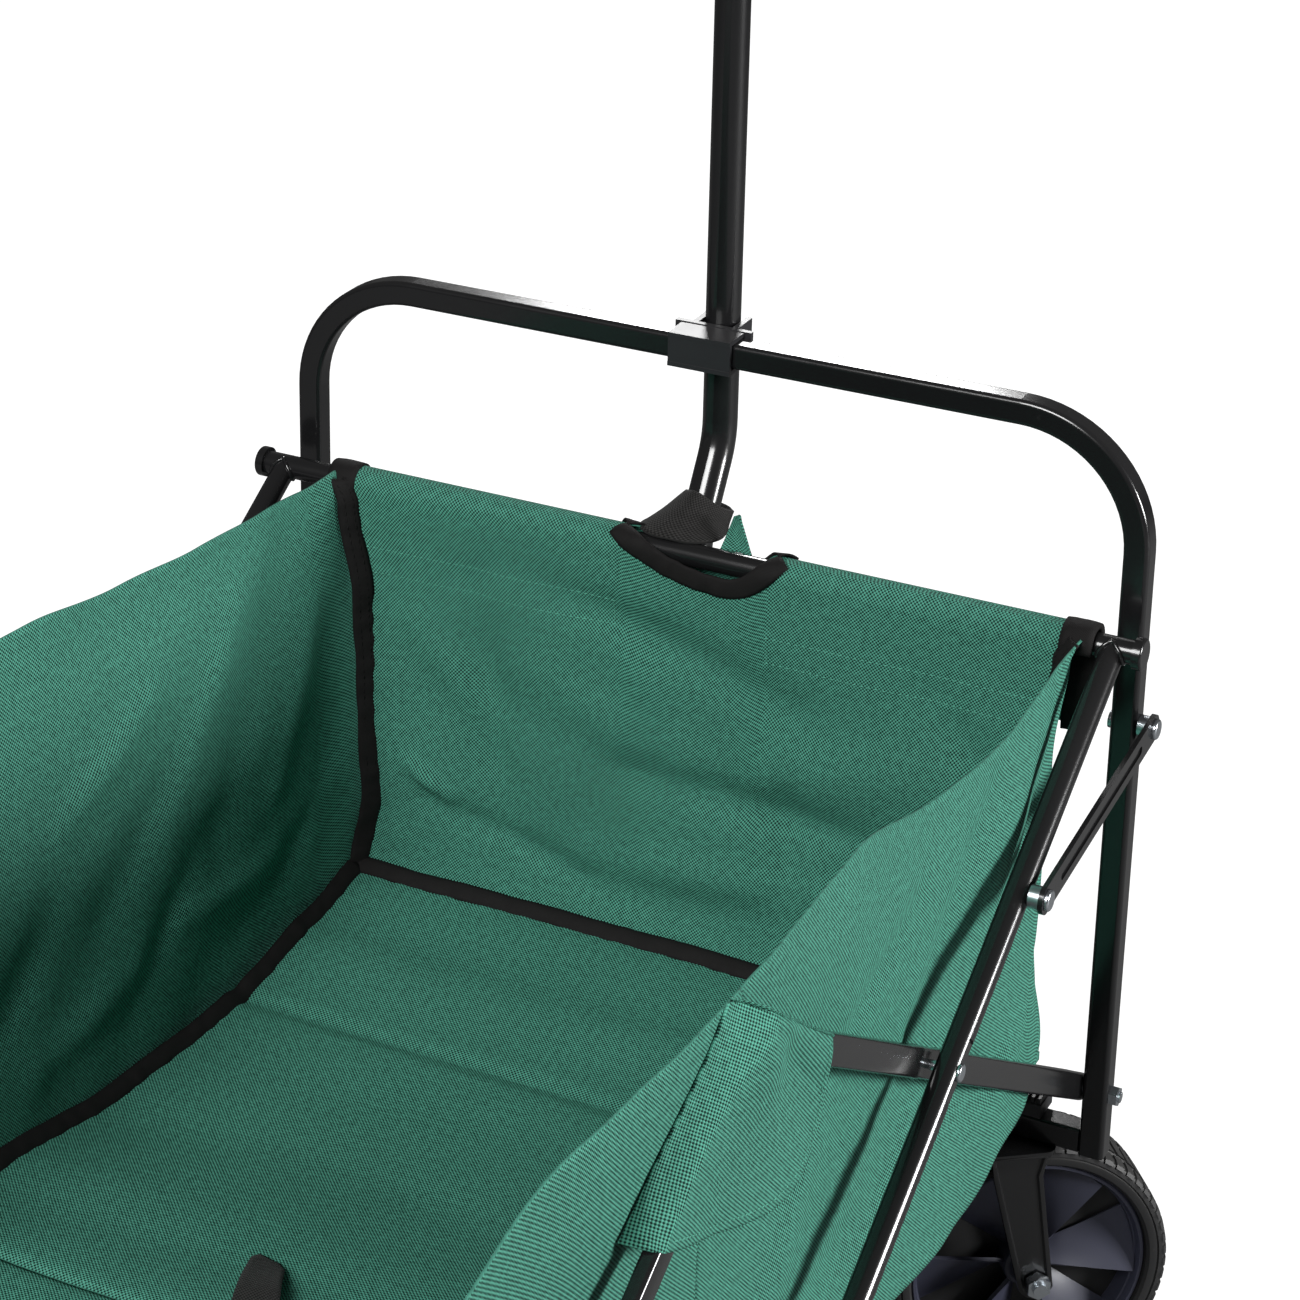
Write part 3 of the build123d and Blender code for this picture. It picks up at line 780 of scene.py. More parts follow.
@dataclass(frozen=True)
class Notch:
    """The cut in the front hem that the handle stands in."""

    left: float = 42.0
    right: float = -48.0
    lowest_x: float = -21.0
    drop: float = 20.0

    def depth(self, x: float) -> float:
        """Distance along the cloth from the hem's crest to the cut's edge."""
        if not self.right < x < self.left:
            return 0.0
        if x > self.lowest_x:
            share = (self.left - x) / (self.left - self.lowest_x)
            return self.drop * math.sin(math.pi / 2 * share ** 0.85)
        share = (x - self.right) / (self.lowest_x - self.right)
        return self.drop * math.sin(math.pi / 2 * share)


@dataclass
class EndSheet:
    """Sheet at one end of the basket, wrapped over its hem bar."""

    bench: Bench
    shape: Shape
    end: End
    notch: Notch | None = None
    flap: float = 62.0

    @property
    def body(self) -> str:
        """Body that it hangs on."""
        return f"{self.end.label}_basket"

    def surface(self, x: float, along: float, lift: float = 0.0) -> Vector:
        """A point of the sheet.

        Args:
            x: Place across the basket in millimetres.
            along: Distance from the hem's crest, positive inside the basket.
            lift: Height above the sheet, towards the inside or away from the bar.

        Returns:
            The point in the model's metres.
        """
        roll = self.shape.hem_roll + lift
        quarter = self.shape.hem_roll * math.pi / 2
        outside = -1 if along < 0 else 1
        span = abs(along)
        if span < quarter:
            angle = span / self.shape.hem_roll
            y, z = HEM_Y + outside * roll * math.sin(angle), HEM_Z + roll * math.cos(angle)
        else:
            z = HEM_Z - (span - quarter)
            if outside > 0:
                y = -self.shape.end_y(x, z, 3.0 * self.end.value) + lift
            else:
                y = HEM_Y - mix(self.shape.hem_roll, 2.0, smooth((HEM_Z - z) / 36)) - lift
        y *= -self.end.value
        return self.bench.datum.at(x + self.shape.sway(y), y, z)

    def width_at(self, along: float) -> float:
        """Half the sheet's width at a distance from the crest."""
        z = HEM_Z - max(0.0, abs(along) - 14)
        return self.shape.corner(z)[0] if along > 0 else self.shape.half_hem

    def start(self, x: float) -> float:
        """Where the cloth begins below the crest at x."""
        return self.notch.depth(x) if self.notch else 0.0

    def build(self) -> bpy.types.Object:
        """Makes the whole sheet, its inner and outer runs joined at the crest.

        Returns:
            The finished sheet.
        """
        drop = HEM_Z - self.shape.floor_z(415) + 14.5 + 8
        half = self.shape.half_hem

        def inner(a: float, b: float) -> Vector:
            """A point of the run inside the basket."""
            share = 2 * a - 1
            start = self.start(share * half)
            along = mix(start, drop, b)
            return self.surface(share * self.width_at(along), along)

        def outer(a: float, b: float) -> Vector:
            """A point of the run outside the basket."""
            share = 2 * a - 1
            start = self.start(share * half)
            along = -mix(start, max(self.flap, start + 6), b)
            return self.surface(share * half, along)

        def chart(sign: float, reach: float) -> Callable[[float, float], tuple[float, float]]:
            """The flat map of one run."""
            return lambda a, b: (a * 2 * half * MM, sign * b * reach * MM)

        bm = self.bench.cloth(140, 84, inner, chart(1, drop))
        other = self.bench.cloth(140, 24, outer, chart(-1, self.flap))
        bmesh.ops.reverse_faces(other, faces=other.faces)
        spare = bpy.data.meshes.new("outer_run")
        other.to_mesh(spare)
        other.free()
        bm.from_mesh(spare)
        bpy.data.meshes.remove(spare)
        bmesh.ops.remove_doubles(bm, verts=bm.verts, dist=0.05 * MM)
        name = f"{self.end.label}_end_sheet"
        sheet = self.bench.piece(bm, name, self.body, Finish.GREEN, [f"{self.end.label}_panel"])
        self.bench.thicken(sheet, 0.9)
        return sheet

    def hem_ends(self) -> None:
        """Sews binding over both ends of the hem's roll and down the outer flap."""
        for side in Side:
            def place(a: float, b: float) -> Vector:
                """A point of the piece from its two shares."""
                x = side.value * mix(205.5, 222.5, a)
                along = mix(-self.flap - 4, 17, b)
                crown = 0.3 + 0.5 * math.sin(math.pi * a) + 0.5 * ripple(x, along, 5, 6)
                return self.surface(x, along, crown)
            bm = self.bench.cloth(5, 44, place, lambda a, b: (a * 0.012, b * 0.083))
            if side is Side.LEFT:
                bmesh.ops.reverse_faces(bm, faces=bm.faces)
            name = f"{self.end.label}_hem_tape_{side.label}"
            tape = self.bench.piece(bm, name, self.body, Finish.TAPE)
            self.bench.thicken(tape, 3.0)

    def notch_tape(self) -> None:
        """Sews binding round the cut for the handle, on both faces."""
        notch = self.notch
        if notch is None:
            return
        for face, label in ((1, "inner"), (-1, "outer")):
            def place(a: float, b: float) -> Vector:
                """A point of the piece from its two shares."""
                x = mix(notch.left - 0.1, notch.right + 0.1, a)
                here = notch.depth(x)
                more, less = min(notch.left, x + 1.5), max(notch.right, x - 1.5)
                lean = math.atan2(notch.depth(less) - notch.depth(more), more - less)
                reach = mix(-1.2, TAPE_WIDTH, b)
                wave = 1.0 * ripple(x, 5 * b, 2.0 * face, 6)
                along = here + math.cos(lean) * reach
                across = x + math.sin(lean) * reach
                along = math.copysign(math.sqrt(along * along + 0.3), along + 0.5)
                return self.surface(across, face * along, 1.0 + 0.7 * math.sin(math.pi * b) + wave)
            bm = self.bench.cloth(70, 6, place, lambda a, b: (a * 0.14, b * 0.012))
            if face > 0:
                bmesh.ops.reverse_faces(bm, faces=bm.faces)
            tape = self.bench.piece(bm, f"notch_tape_{label}", self.body, Finish.TAPE)
            self.bench.thicken(tape, 1.0)

    def stitching(self, seams: "Stitching") -> None:
        """Runs the fastening strips' stitches across the hem."""
        runs: list[list[Vector]] = []
        for side in Side:
            near, far = side.value * 46.0, side.value * 199.0
            for along in (48.0, 63.0):
                runs.append([self.surface(mix(near, far, i / 60), along, 0.75) for i in range(61)])
            runs.append([self.surface(near, mix(48, 63, i / 6), 0.75) for i in range(7)])
        seams.sew(f"{self.end.label}_hem_stitches", self.body, Finish.STITCH, runs)


@dataclass
class SideSheet:
    """Half of a side sheet, from a hem bar to the wagon's middle."""

    bench: Bench
    shape: Shape
    side: Side
    end: End

    @property
    def body(self) -> str:
        """Body that it hangs on."""
        return f"{self.end.label}_basket"

    def surface(self, y: float, z: float, lift: float = 0.0) -> Vector:
        """A point of the sheet, or lift millimetres outside it."""
        x = self.shape.side_x(y, z, self.side) + lift
        if abs(y) > self.shape.corner_y - 34:
            half, seam = self.shape.corner(z)
            share = smooth((abs(y) - self.shape.corner_y + 34) / 34)
            x = mix(x, half + lift + self.side.value * self.shape.sway(y), share)
            y = math.copysign(mix(abs(y), seam, share), y)
        return self.bench.datum.at(self.side.value * x, y, z)

    def build(self) -> bpy.types.Object:
        """Makes the sheet.

        Returns:
            The finished sheet.
        """
        reach = self.shape.corner_y

        def place(a: float, b: float) -> Vector:
            """A point of the piece from its two shares."""
            y = self.end.value * reach * a
            top, base = self.shape.side_top(y, self.side), self.shape.floor_z(y) - 9
            return self.surface(y, mix(top, base, b))

        bm = self.bench.cloth(110, 74, place, lambda a, b: (a * reach * MM, b * 0.27))
        if self.side.value * self.end.value > 0:
            bmesh.ops.reverse_faces(bm, faces=bm.faces)
        node = f"{self.end.label}_side_panel_{self.side.label}"
        sheet = self.bench.piece(bm, f"{self.end.label}_side_sheet_{self.side.label}", self.body, Finish.GREEN,
                                 [node])
        self.bench.thicken(sheet, 1.3)
        crumple(sheet, self.bench.datum, self.end)
        return sheet


def crumple(piece: bpy.types.Object, datum: Datum, end: End) -> None:
    """Gives a soft piece its own copy of its mesh."""
    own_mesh(piece)


@dataclass
class Tape:
    """A crowned strip of binding along a path."""

    bench: Bench
    width: float = TAPE_WIDTH
    crown: float = 1.5

    def lay(
        self, name: str, body: str, steps: int, path: Callable[[float], tuple[Vector, Vector, Vector]],
        length: float, finish: Finish = Finish.TAPE,
    ) -> bpy.types.Object:
        """Lays the strip.

        Args:
            name: The piece's name.
            body: The body that it rides on.
            steps: Faces along its length.
            path: Gives the middle line's point, the direction across and the way out, for a share.
            length: Its length in millimetres.
            finish: Its finish.

        Returns:
            The finished strip.
        """
        def place(a: float, b: float) -> Vector:
            """A point of the piece from its two shares."""
            middle, across, out = path(a)
            side = 2 * b - 1
            rise = self.crown * math.sqrt(max(0.0, 1 - 0.85 * side * side))
            rise += 1.1 * ripple(a * length, 3 * side, len(name), 7) + 0.6 * ripple(a * length, 9, 3, 30)
            shift = 0.8 * ripple(a * length, 40, len(name), 26)
            return middle + across * ((side * self.width / 2 + shift) * MM) + out * (rise * MM)
        bm = self.bench.cloth(steps, 6, place, lambda a, b: (a * length * MM, b * self.width * MM))
        bmesh.ops.recalc_face_normals(bm, faces=bm.faces)
        probe, _, out = path(0.5)
        bm.faces.ensure_lookup_table()
        middle = min(bm.faces, key=lambda face: (face.calc_center_median() - probe).length)
        if middle.normal.dot(out) < 0:
            bmesh.ops.reverse_faces(bm, faces=bm.faces)
        strip = self.bench.piece(bm, name, body, finish)
        self.bench.thicken(strip, 1.0, -1.0)
        return strip


@dataclass
class Stitching:
    """Rows of short raised stitches."""

    bench: Bench
    pitch: float = 4.2
    length: float = 2.9
    thickness: float = 0.55

    def sew(
        self, name: str, body: str, finish: Finish, runs: Iterable[Sequence[Vector]]
    ) -> bpy.types.Object:
        """Sews stitches along runs of points.

        Args:
            name: The piece's name.
            body: The body that it rides on.
            finish: Finish of the thread.
            runs: Each run's points in the model's metres.

        Returns:
            One piece with every stitch.
        """
        bm = bmesh.new()
        layer = bm.loops.layers.uv.new("cloth")
        for run in runs:
            carried = 0.0
            for first, second in zip(run, run[1:]):
                step = second - first
                while carried < step.length:
                    middle = first + step * (carried / step.length)
                    turn = step.to_track_quat("X", "Z").to_matrix().to_4x4()
                    size = Matrix.Diagonal((self.length * MM, self.thickness * MM, self.thickness * MM, 1))
                    bmesh.ops.create_icosphere(
                        bm, subdivisions=1, radius=0.5, matrix=Matrix.Translation(middle) @ turn @ size
                    )
                    carried += self.pitch * MM
                carried -= step.length
        for face in bm.faces:
            for loop in face.loops:
                loop[layer].uv = (loop.vert.co.x + loop.vert.co.y, loop.vert.co.z)
        return self.bench.piece(bm, name, body, finish)


@dataclass
class FloorBoard:
    """Cloth-covered board, half of the basket's floor."""

    bench: Bench
    shape: Shape
    end: End
    board: float = 5.0

    @property
    def body(self) -> str:
        """Body that it rides on."""
        return f"{self.end.label}_basket"

    def surface(self, x: float, y: float) -> Vector:
        """A point of the floor's upper face."""
        fold = -3.2 * bump(abs(y), 281, 6.0) - 2.0 * bump(abs(y), 0, 3.5)
        pillow = 1.2 * bump(abs(y), 262, 22) + 1.6 * bump(abs(y), 22, 26)
        edge = smooth((self.shape.half_floor - abs(x)) / 30)
        loose = (1.3 * ripple(x, y, 17, 90) + 0.5 * ripple(x, y, 23, 30)) * edge
        return self.bench.datum.at(x + self.shape.sway(y), y, self.shape.floor_z(y) + fold + pillow + loose)

    def build(self) -> None:
        """Makes the board's cover and the tapes along its edges."""
        half, reach = self.shape.half_floor, 414.0
        sign = self.end.value

        bm = self.bench.cloth(
            110, 110, lambda a, b: self.surface(mix(-half, half, b), sign * mix(0.2, reach, a)),
            lambda a, b: (a * reach * MM, b * 2 * half * MM),
        )
        bm.normal_update()
        if sum(face.normal.z for face in bm.faces) < 0:
            bmesh.ops.reverse_faces(bm, faces=bm.faces)
        label = self.end.label
        cover = self.bench.piece(bm, f"{label}_floor_cover", self.body, Finish.GREEN, [f"{label}_floor"])
        self.bench.thicken(cover, self.board, -1.0)
        crumple(cover, self.bench.datum, self.end)
        tape = Tape(self.bench, 11.0, 2.6)
        slant = math.radians(48)

        def front(t: float) -> tuple[Vector, Vector, Vector]:
            """Place, run and outward face of the tape at the end."""
            x = mix(-half + 2, half - 2, t)
            point = self.surface(x, sign * (reach - 4)) + Vector((0, 0, 1.6 * MM))
            out = Vector((0, -sign * math.cos(slant), math.sin(slant)))
            return point, Vector((0, sign * math.sin(slant), math.cos(slant))), out
        edge = tape.lay(f"{label}_floor_tape_end", self.body, 120, front, 2 * half)
        crumple(edge, self.bench.datum, self.end)
        for side in Side:
            def along(t: float) -> tuple[Vector, Vector, Vector]:
                """Place, run and outward face of the tape along a side."""
                y = sign * mix(0.3, reach - 6, t)
                point = self.surface(side.value * (half - 4), y) + Vector((0, 0, 1.6 * MM))
                out = Vector((-side.value * math.cos(slant), 0, math.sin(slant)))
                return point, Vector((side.value * math.sin(slant), 0, math.cos(slant))), out
            edge = tape.lay(f"{label}_floor_tape_{side.label}", self.body, 120, along, reach)
            crumple(edge, self.bench.datum, self.end)


@dataclass
class CornerTapes:
    """Binding down the basket's four inner corners."""

    bench: Bench
    shape: Shape
    seams: Stitching

    def build(self) -> None:
        """Lays the four tapes with their two rows of stitches."""
        for end in End:
            for side in Side:
                sign = -end.value
                out = Vector((-side.value, sign, 0)).normalized()
                across = Vector((side.value, sign, 0)).normalized()

                def path(t: float) -> tuple[Vector, Vector, Vector]:
                    """Place, run and outward face of the tape."""
                    z = mix(453.0, self.shape.floor_z(411) + 2, t)
                    half, seam = self.shape.corner(z)
                    inward = 3.2 + 1.2 * math.sin(9 * t)
                    y = end.value * (seam - inward)
                    middle = self.bench.datum.at(side.value * (half - inward) + self.shape.sway(y), y, z)
                    return middle, across, out
                name = f"{end.label}_corner_tape_{side.label}"
                Tape(self.bench, 13.0, 1.6).lay(name, f"{end.label}_basket", 90, path, 250)
                runs = []
                for offset in (-2.4, 2.4):
                    run = []
                    for i in range(46):
                        middle, _, _ = path(i / 60)
                        run.append(middle + across * (offset * MM) + out * (1.75 * MM))
                    runs.append(run)
                self.seams.sew(f"{end.label}_corner_stitches_{side.label}", f"{end.label}_basket", Finish.TAPE,
                               runs)


@dataclass
class ApexFlap:
    """Cap of cloth over the joint where a side's lift bars meet."""

    bench: Bench
    shape: Shape
    side: Side
    peak: tuple[float, float] = (14.6, 472.0)
    mouth: tuple[float, float] = (-71.0, 411.5)
    seam: tuple[float, float] = (96.0, 402.0)

    def rim(self, t: float) -> tuple[float, float]:
        """A point of the free edge, from the mouth round to the seam's foot."""
        corners = (self.mouth, (-72, 392), (-75, 368), (-63, 352), (-28, 349), (30, 370), self.seam)
        place = t * (len(corners) - 1)
        first = min(len(corners) - 2, int(place))
        part = place - first
        points = [corners[max(0, min(len(corners) - 1, first + step))] for step in (-1, 0, 1, 2)]
        basis = (
            -0.5 * part ** 3 + part ** 2 - 0.5 * part, 1.5 * part ** 3 - 2.5 * part ** 2 + 1,
            -1.5 * part ** 3 + 2 * part ** 2 + 0.5 * part, 0.5 * part ** 3 - 0.5 * part ** 2,
        )
        return (sum(w * p[0] for w, p in zip(basis, points)), sum(w * p[1] for w, p in zip(basis, points)))

    def surface(self, t: float, reach: float, lift: float = 0.0) -> Vector:
        """A point of the cap.

        Args:
            t: Place along the free edge.
            reach: Share of the way from the peak to that edge.
            lift: Height above the cloth in millimetres.

        Returns:
            The point in the model's metres.
        """
        y = mix(self.peak[0], self.rim(t)[0], reach)
        z = mix(self.peak[1], self.rim(t)[1], reach)
        ray = math.hypot(y - self.peak[0], z - self.peak[1])
        base = self.shape.side_x(y, min(z, self.shape.side_top(y, self.side)), self.side)
        above = (z - 447.0 + math.tan(BAR_SLOPE) * abs(y)) * math.cos(BAR_SLOPE)
        tucked = smooth((above - 7.8) / mix(21.0, 4.2, reach))
        rivet = 7.5 * bump(math.hypot(y, z - 447.0), 0, 26)
        hanging = 236.0 + rivet - 5.0 * smooth(-above / 60)
        pleats = 1.2 + 2.6 * math.sin(3.4 * math.pi * t + 0.9) * reach + 1.4 * ripple(y, z * 0.4, 12, 30)
        x = mix(hanging + max(0.0, pleats), base + 1.6, tucked)
        x = mix(base + 1.6, x, smooth(ray / 12)) + lift
        return self.bench.datum.at(self.side.value * x, y, z)

    def chart(self, a: float, b: float) -> tuple[float, float]:
        """Place on the cap's flat cloth, where the standing edge is let out."""
        point = self.surface(a, mix(0.015, 1.0, b))
        return point.y - 0.40 * abs(point.x), point.z - 0.47 * abs(point.x)

    def build(self, seams: Stitching) -> None:
        """Makes the cap, the roll along its mouth and its stitches."""
        name = f"apex_flap_{self.side.label}"
        bm = self.bench.cloth(72, 56, lambda a, b: self.surface(a, mix(0.015, 1.0, b)),
                              self.chart)
        bmesh.ops.recalc_face_normals(bm, faces=bm.faces)
        if sum(face.normal.x for face in bm.faces) * self.side.value < 0:
            bmesh.ops.reverse_faces(bm, faces=bm.faces)
        flap = self.bench.piece(bm, name, "front_basket", Finish.GREEN)
        self.bench.thicken(flap, 1.2)
        crumple(flap, self.bench.datum, End.FRONT)

        def roll(t: float) -> tuple[Vector, Vector, Vector]:
            """Place, run and outward face of the roll."""
            point = self.surface(0.004, mix(0.02, 1.0, t))
            return point, Vector((0, 0.5, 0.86)), Vector((self.side.value, 0, 0.2)).normalized()
        lip = Tape(self.bench, 4.0, 1.8).lay(f"flap_lip_{self.side.label}", "front_basket", 50, roll, 113,
                                            Finish.GREEN)
        crumple(lip, self.bench.datum, End.FRONT)
        rim = [self.surface(0.06 + 0.9 * i / 90, 0.955, 0.7) for i in range(91)]
        rows = seams.sew(f"flap_stitches_{self.side.label}", "front_basket", Finish.STITCH, [rim])
        crumple(rows, self.bench.datum, End.FRONT)


@dataclass
class HandleLoop:
    """Webbing that holds the handle to the hem bar, with a scrap of cloth beside it."""

    bench: Bench

    def build(self) -> None:
        """Makes the sleeve of webbing and the folded tab."""
        def sleeve(a: float, b: float) -> Vector:
            """A point round the sleeve, from its foot to its mouth."""
            angle = 2 * math.pi * a
            back = 0.5 * (1 + math.sin(angle))
            wide_low = mix(15.0, 29.0, back)
            half = mix(wide_low, 12.6, b ** 0.8)
            middle_x = mix(5.0 * back, -1.0, b)
            near = mix(-417.0, -446.0, b)
            far = mix(-462.0, -471.5, b)
            y = mix(far, near, back)
            top = mix(456.0, 467.0, back) + 4.0 * bump(math.cos(angle), 0.1, 0.7) * back
            z = mix(mix(452.0, 454.5, back), top, b) + 3 * math.cos(angle) * b
            x = middle_x + half * math.cos(angle)
            flat = 0.25 * math.cos(2 * angle)
            return self.bench.datum.at(x, y - flat, z + 0.6 * ripple(x, y, z, 12))

        bm = self.bench.cloth(64, 16, sleeve, lambda a, b: (a * 0.14, b * 0.034))
        bmesh.ops.remove_doubles(bm, verts=bm.verts, dist=0.05 * MM)
        bmesh.ops.recalc_face_normals(bm, faces=bm.faces)
        loop = self.bench.piece(bm, "handle_webbing", "front_basket", Finish.WEBBING, ["handle_strap"])
        self.bench.thicken(loop, 1.8)

        def tab(a: float, b: float) -> Vector:
            """A point of the folded tab."""
            x = mix(mix(-23, -25, b), mix(-42, -28, b), a)
            y = mix(-424, -438, b) - 3 * math.sin(math.pi * a)
            return self.bench.datum.at(x, y, mix(451, 466, b))
        bm = self.bench.cloth(8, 10, tab, lambda a, b: (a * 0.017, b * 0.026))
        scrap = self.bench.piece(bm, "handle_cloth_tab", "front_basket", Finish.GREEN)
        self.bench.thicken(scrap, 1.2)


@dataclass
class PullStrap:
    """Short webbing pull that comes up through the floor's middle."""

    bench: Bench
    board: FloorBoard

    def build(self) -> None:
        """Makes the strap, lying loosely along the front board."""
        def place(a: float, b: float) -> Vector:
            """A point of the piece from its two shares."""
            y = mix(-2.0, -62.0, a)
            half = mix(14.0, 9.0, a) * (1 - 0.35 * smooth((a - 0.9) / 0.1))
            x = mix(14.0, 42.0, a) + half * (2 * b - 1)
            rise = 2.4 + 7.0 * math.sin(math.pi * a) + 1.2 * math.sin(5 * a + 2 * b)
            return self.board.surface(x, y) + Vector((0, 0, rise * MM))
        bm = self.bench.cloth(36, 8, place, lambda a, b: (a * 0.066, b * 0.028))
        strap = self.bench.piece(bm, "floor_pull_strap", "front_basket", Finish.WEBBING)
        self.bench.thicken(strap, 1.7)
        crumple(strap, self.bench.datum, End.FRONT)


@dataclass
class Basket:
    """All of the sewn basket."""

    bench: Bench

    def build(self) -> None:
        """Makes every sheet, tape, flap and row of stitches."""
        shape, seams = Shape(), Stitching(self.bench)
        for end in End:
            sheet = EndSheet(self.bench, shape, end, Notch() if end is End.FRONT else None)
            sheet.build()
            sheet.hem_ends()
            sheet.notch_tape()
            sheet.stitching(seams)
            for side in Side:
                SideSheet(self.bench, shape, side, end).build()
            board = FloorBoard(self.bench, shape, end)
            board.build()
            if end is End.FRONT:
                PullStrap(self.bench, board).build()
                run = [board.surface(mix(-202, 202, i / 100), -3.0) + Vector((0, 0, 0.2 * MM)) for i in range(101)]
                rows = seams.sew("floor_middle_stitches", board.body, Finish.STITCH, [run])
                crumple(rows, self.bench.datum, end)
        CornerTapes(self.bench, shape, seams).build()
        for side in Side:
            ApexFlap(self.bench, shape, side).build(seams)
        HandleLoop(self.bench).build()


# ---- wheels and forks -------------------------------------------------------------------


def spun(profile: Sequence[tuple[float, float]], steps: int, closed: bool = True) -> bmesh.types.BMesh:
    """Turns an outline of axial place and radius about the X axis.

    Args:
        profile: Points of the outline, in millimetres.
        steps: Faces round the axis.
        closed: Whether the outline's last point joins its first.

    Returns:
        The turned mesh in metres.
    """
    bm = bmesh.new()
    verts = [bm.verts.new((x * MM, 0, r * MM)) for x, r in profile]
    edges = [bm.edges.new(pair) for pair in zip(verts, verts[1:])]
    if closed:
        edges.append(bm.edges.new((verts[-1], verts[0])))
    bmesh.ops.spin(bm, geom=verts + edges, cent=(0, 0, 0), axis=(1, 0, 0), dvec=(0, 0, 0),
                   angle=2 * math.pi, steps=steps, use_merge=True)
    bmesh.ops.remove_doubles(bm, verts=bm.verts, dist=0.02 * MM)
    bmesh.ops.recalc_face_normals(bm, faces=bm.faces)
    return bm


def absorb(bm: bmesh.types.BMesh, other: bmesh.types.BMesh) -> None:
    """Adds another mesh to this one and frees it."""
    spare = bpy.data.meshes.new("part")
    other.to_mesh(spare)
    other.free()
    bm.from_mesh(spare)
    bpy.data.meshes.remove(spare)


def middle_of(node: str) -> Vector:
    """Centre of a CAD node's box."""
    low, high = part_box(node)
    return (low + high) / 2


@dataclass(frozen=True)
class Corner:
    """One wheel's place: the nodes' stem, its bodies, and whether it swivels."""

    end: End
    side: Side

    @property
    def stem(self) -> str:
        """First word of the corner's nodes."""
        return "caster" if self.end is End.FRONT else "rear"

    @property
    def wheel_body(self) -> str:
        """Body of the tyre and rim."""
        return f"{self.side.label}_{self.end.label}_wheel"

    @property
    def fork_body(self) -> str:
        """Body of the fork."""
        return f"{self.side.label}_caster" if self.end is End.FRONT else "rear_frame"

    def node(self, part: str) -> str:
        """Name of one of the corner's CAD nodes."""
        return f"{self.stem}_{part}_{self.side.label}"


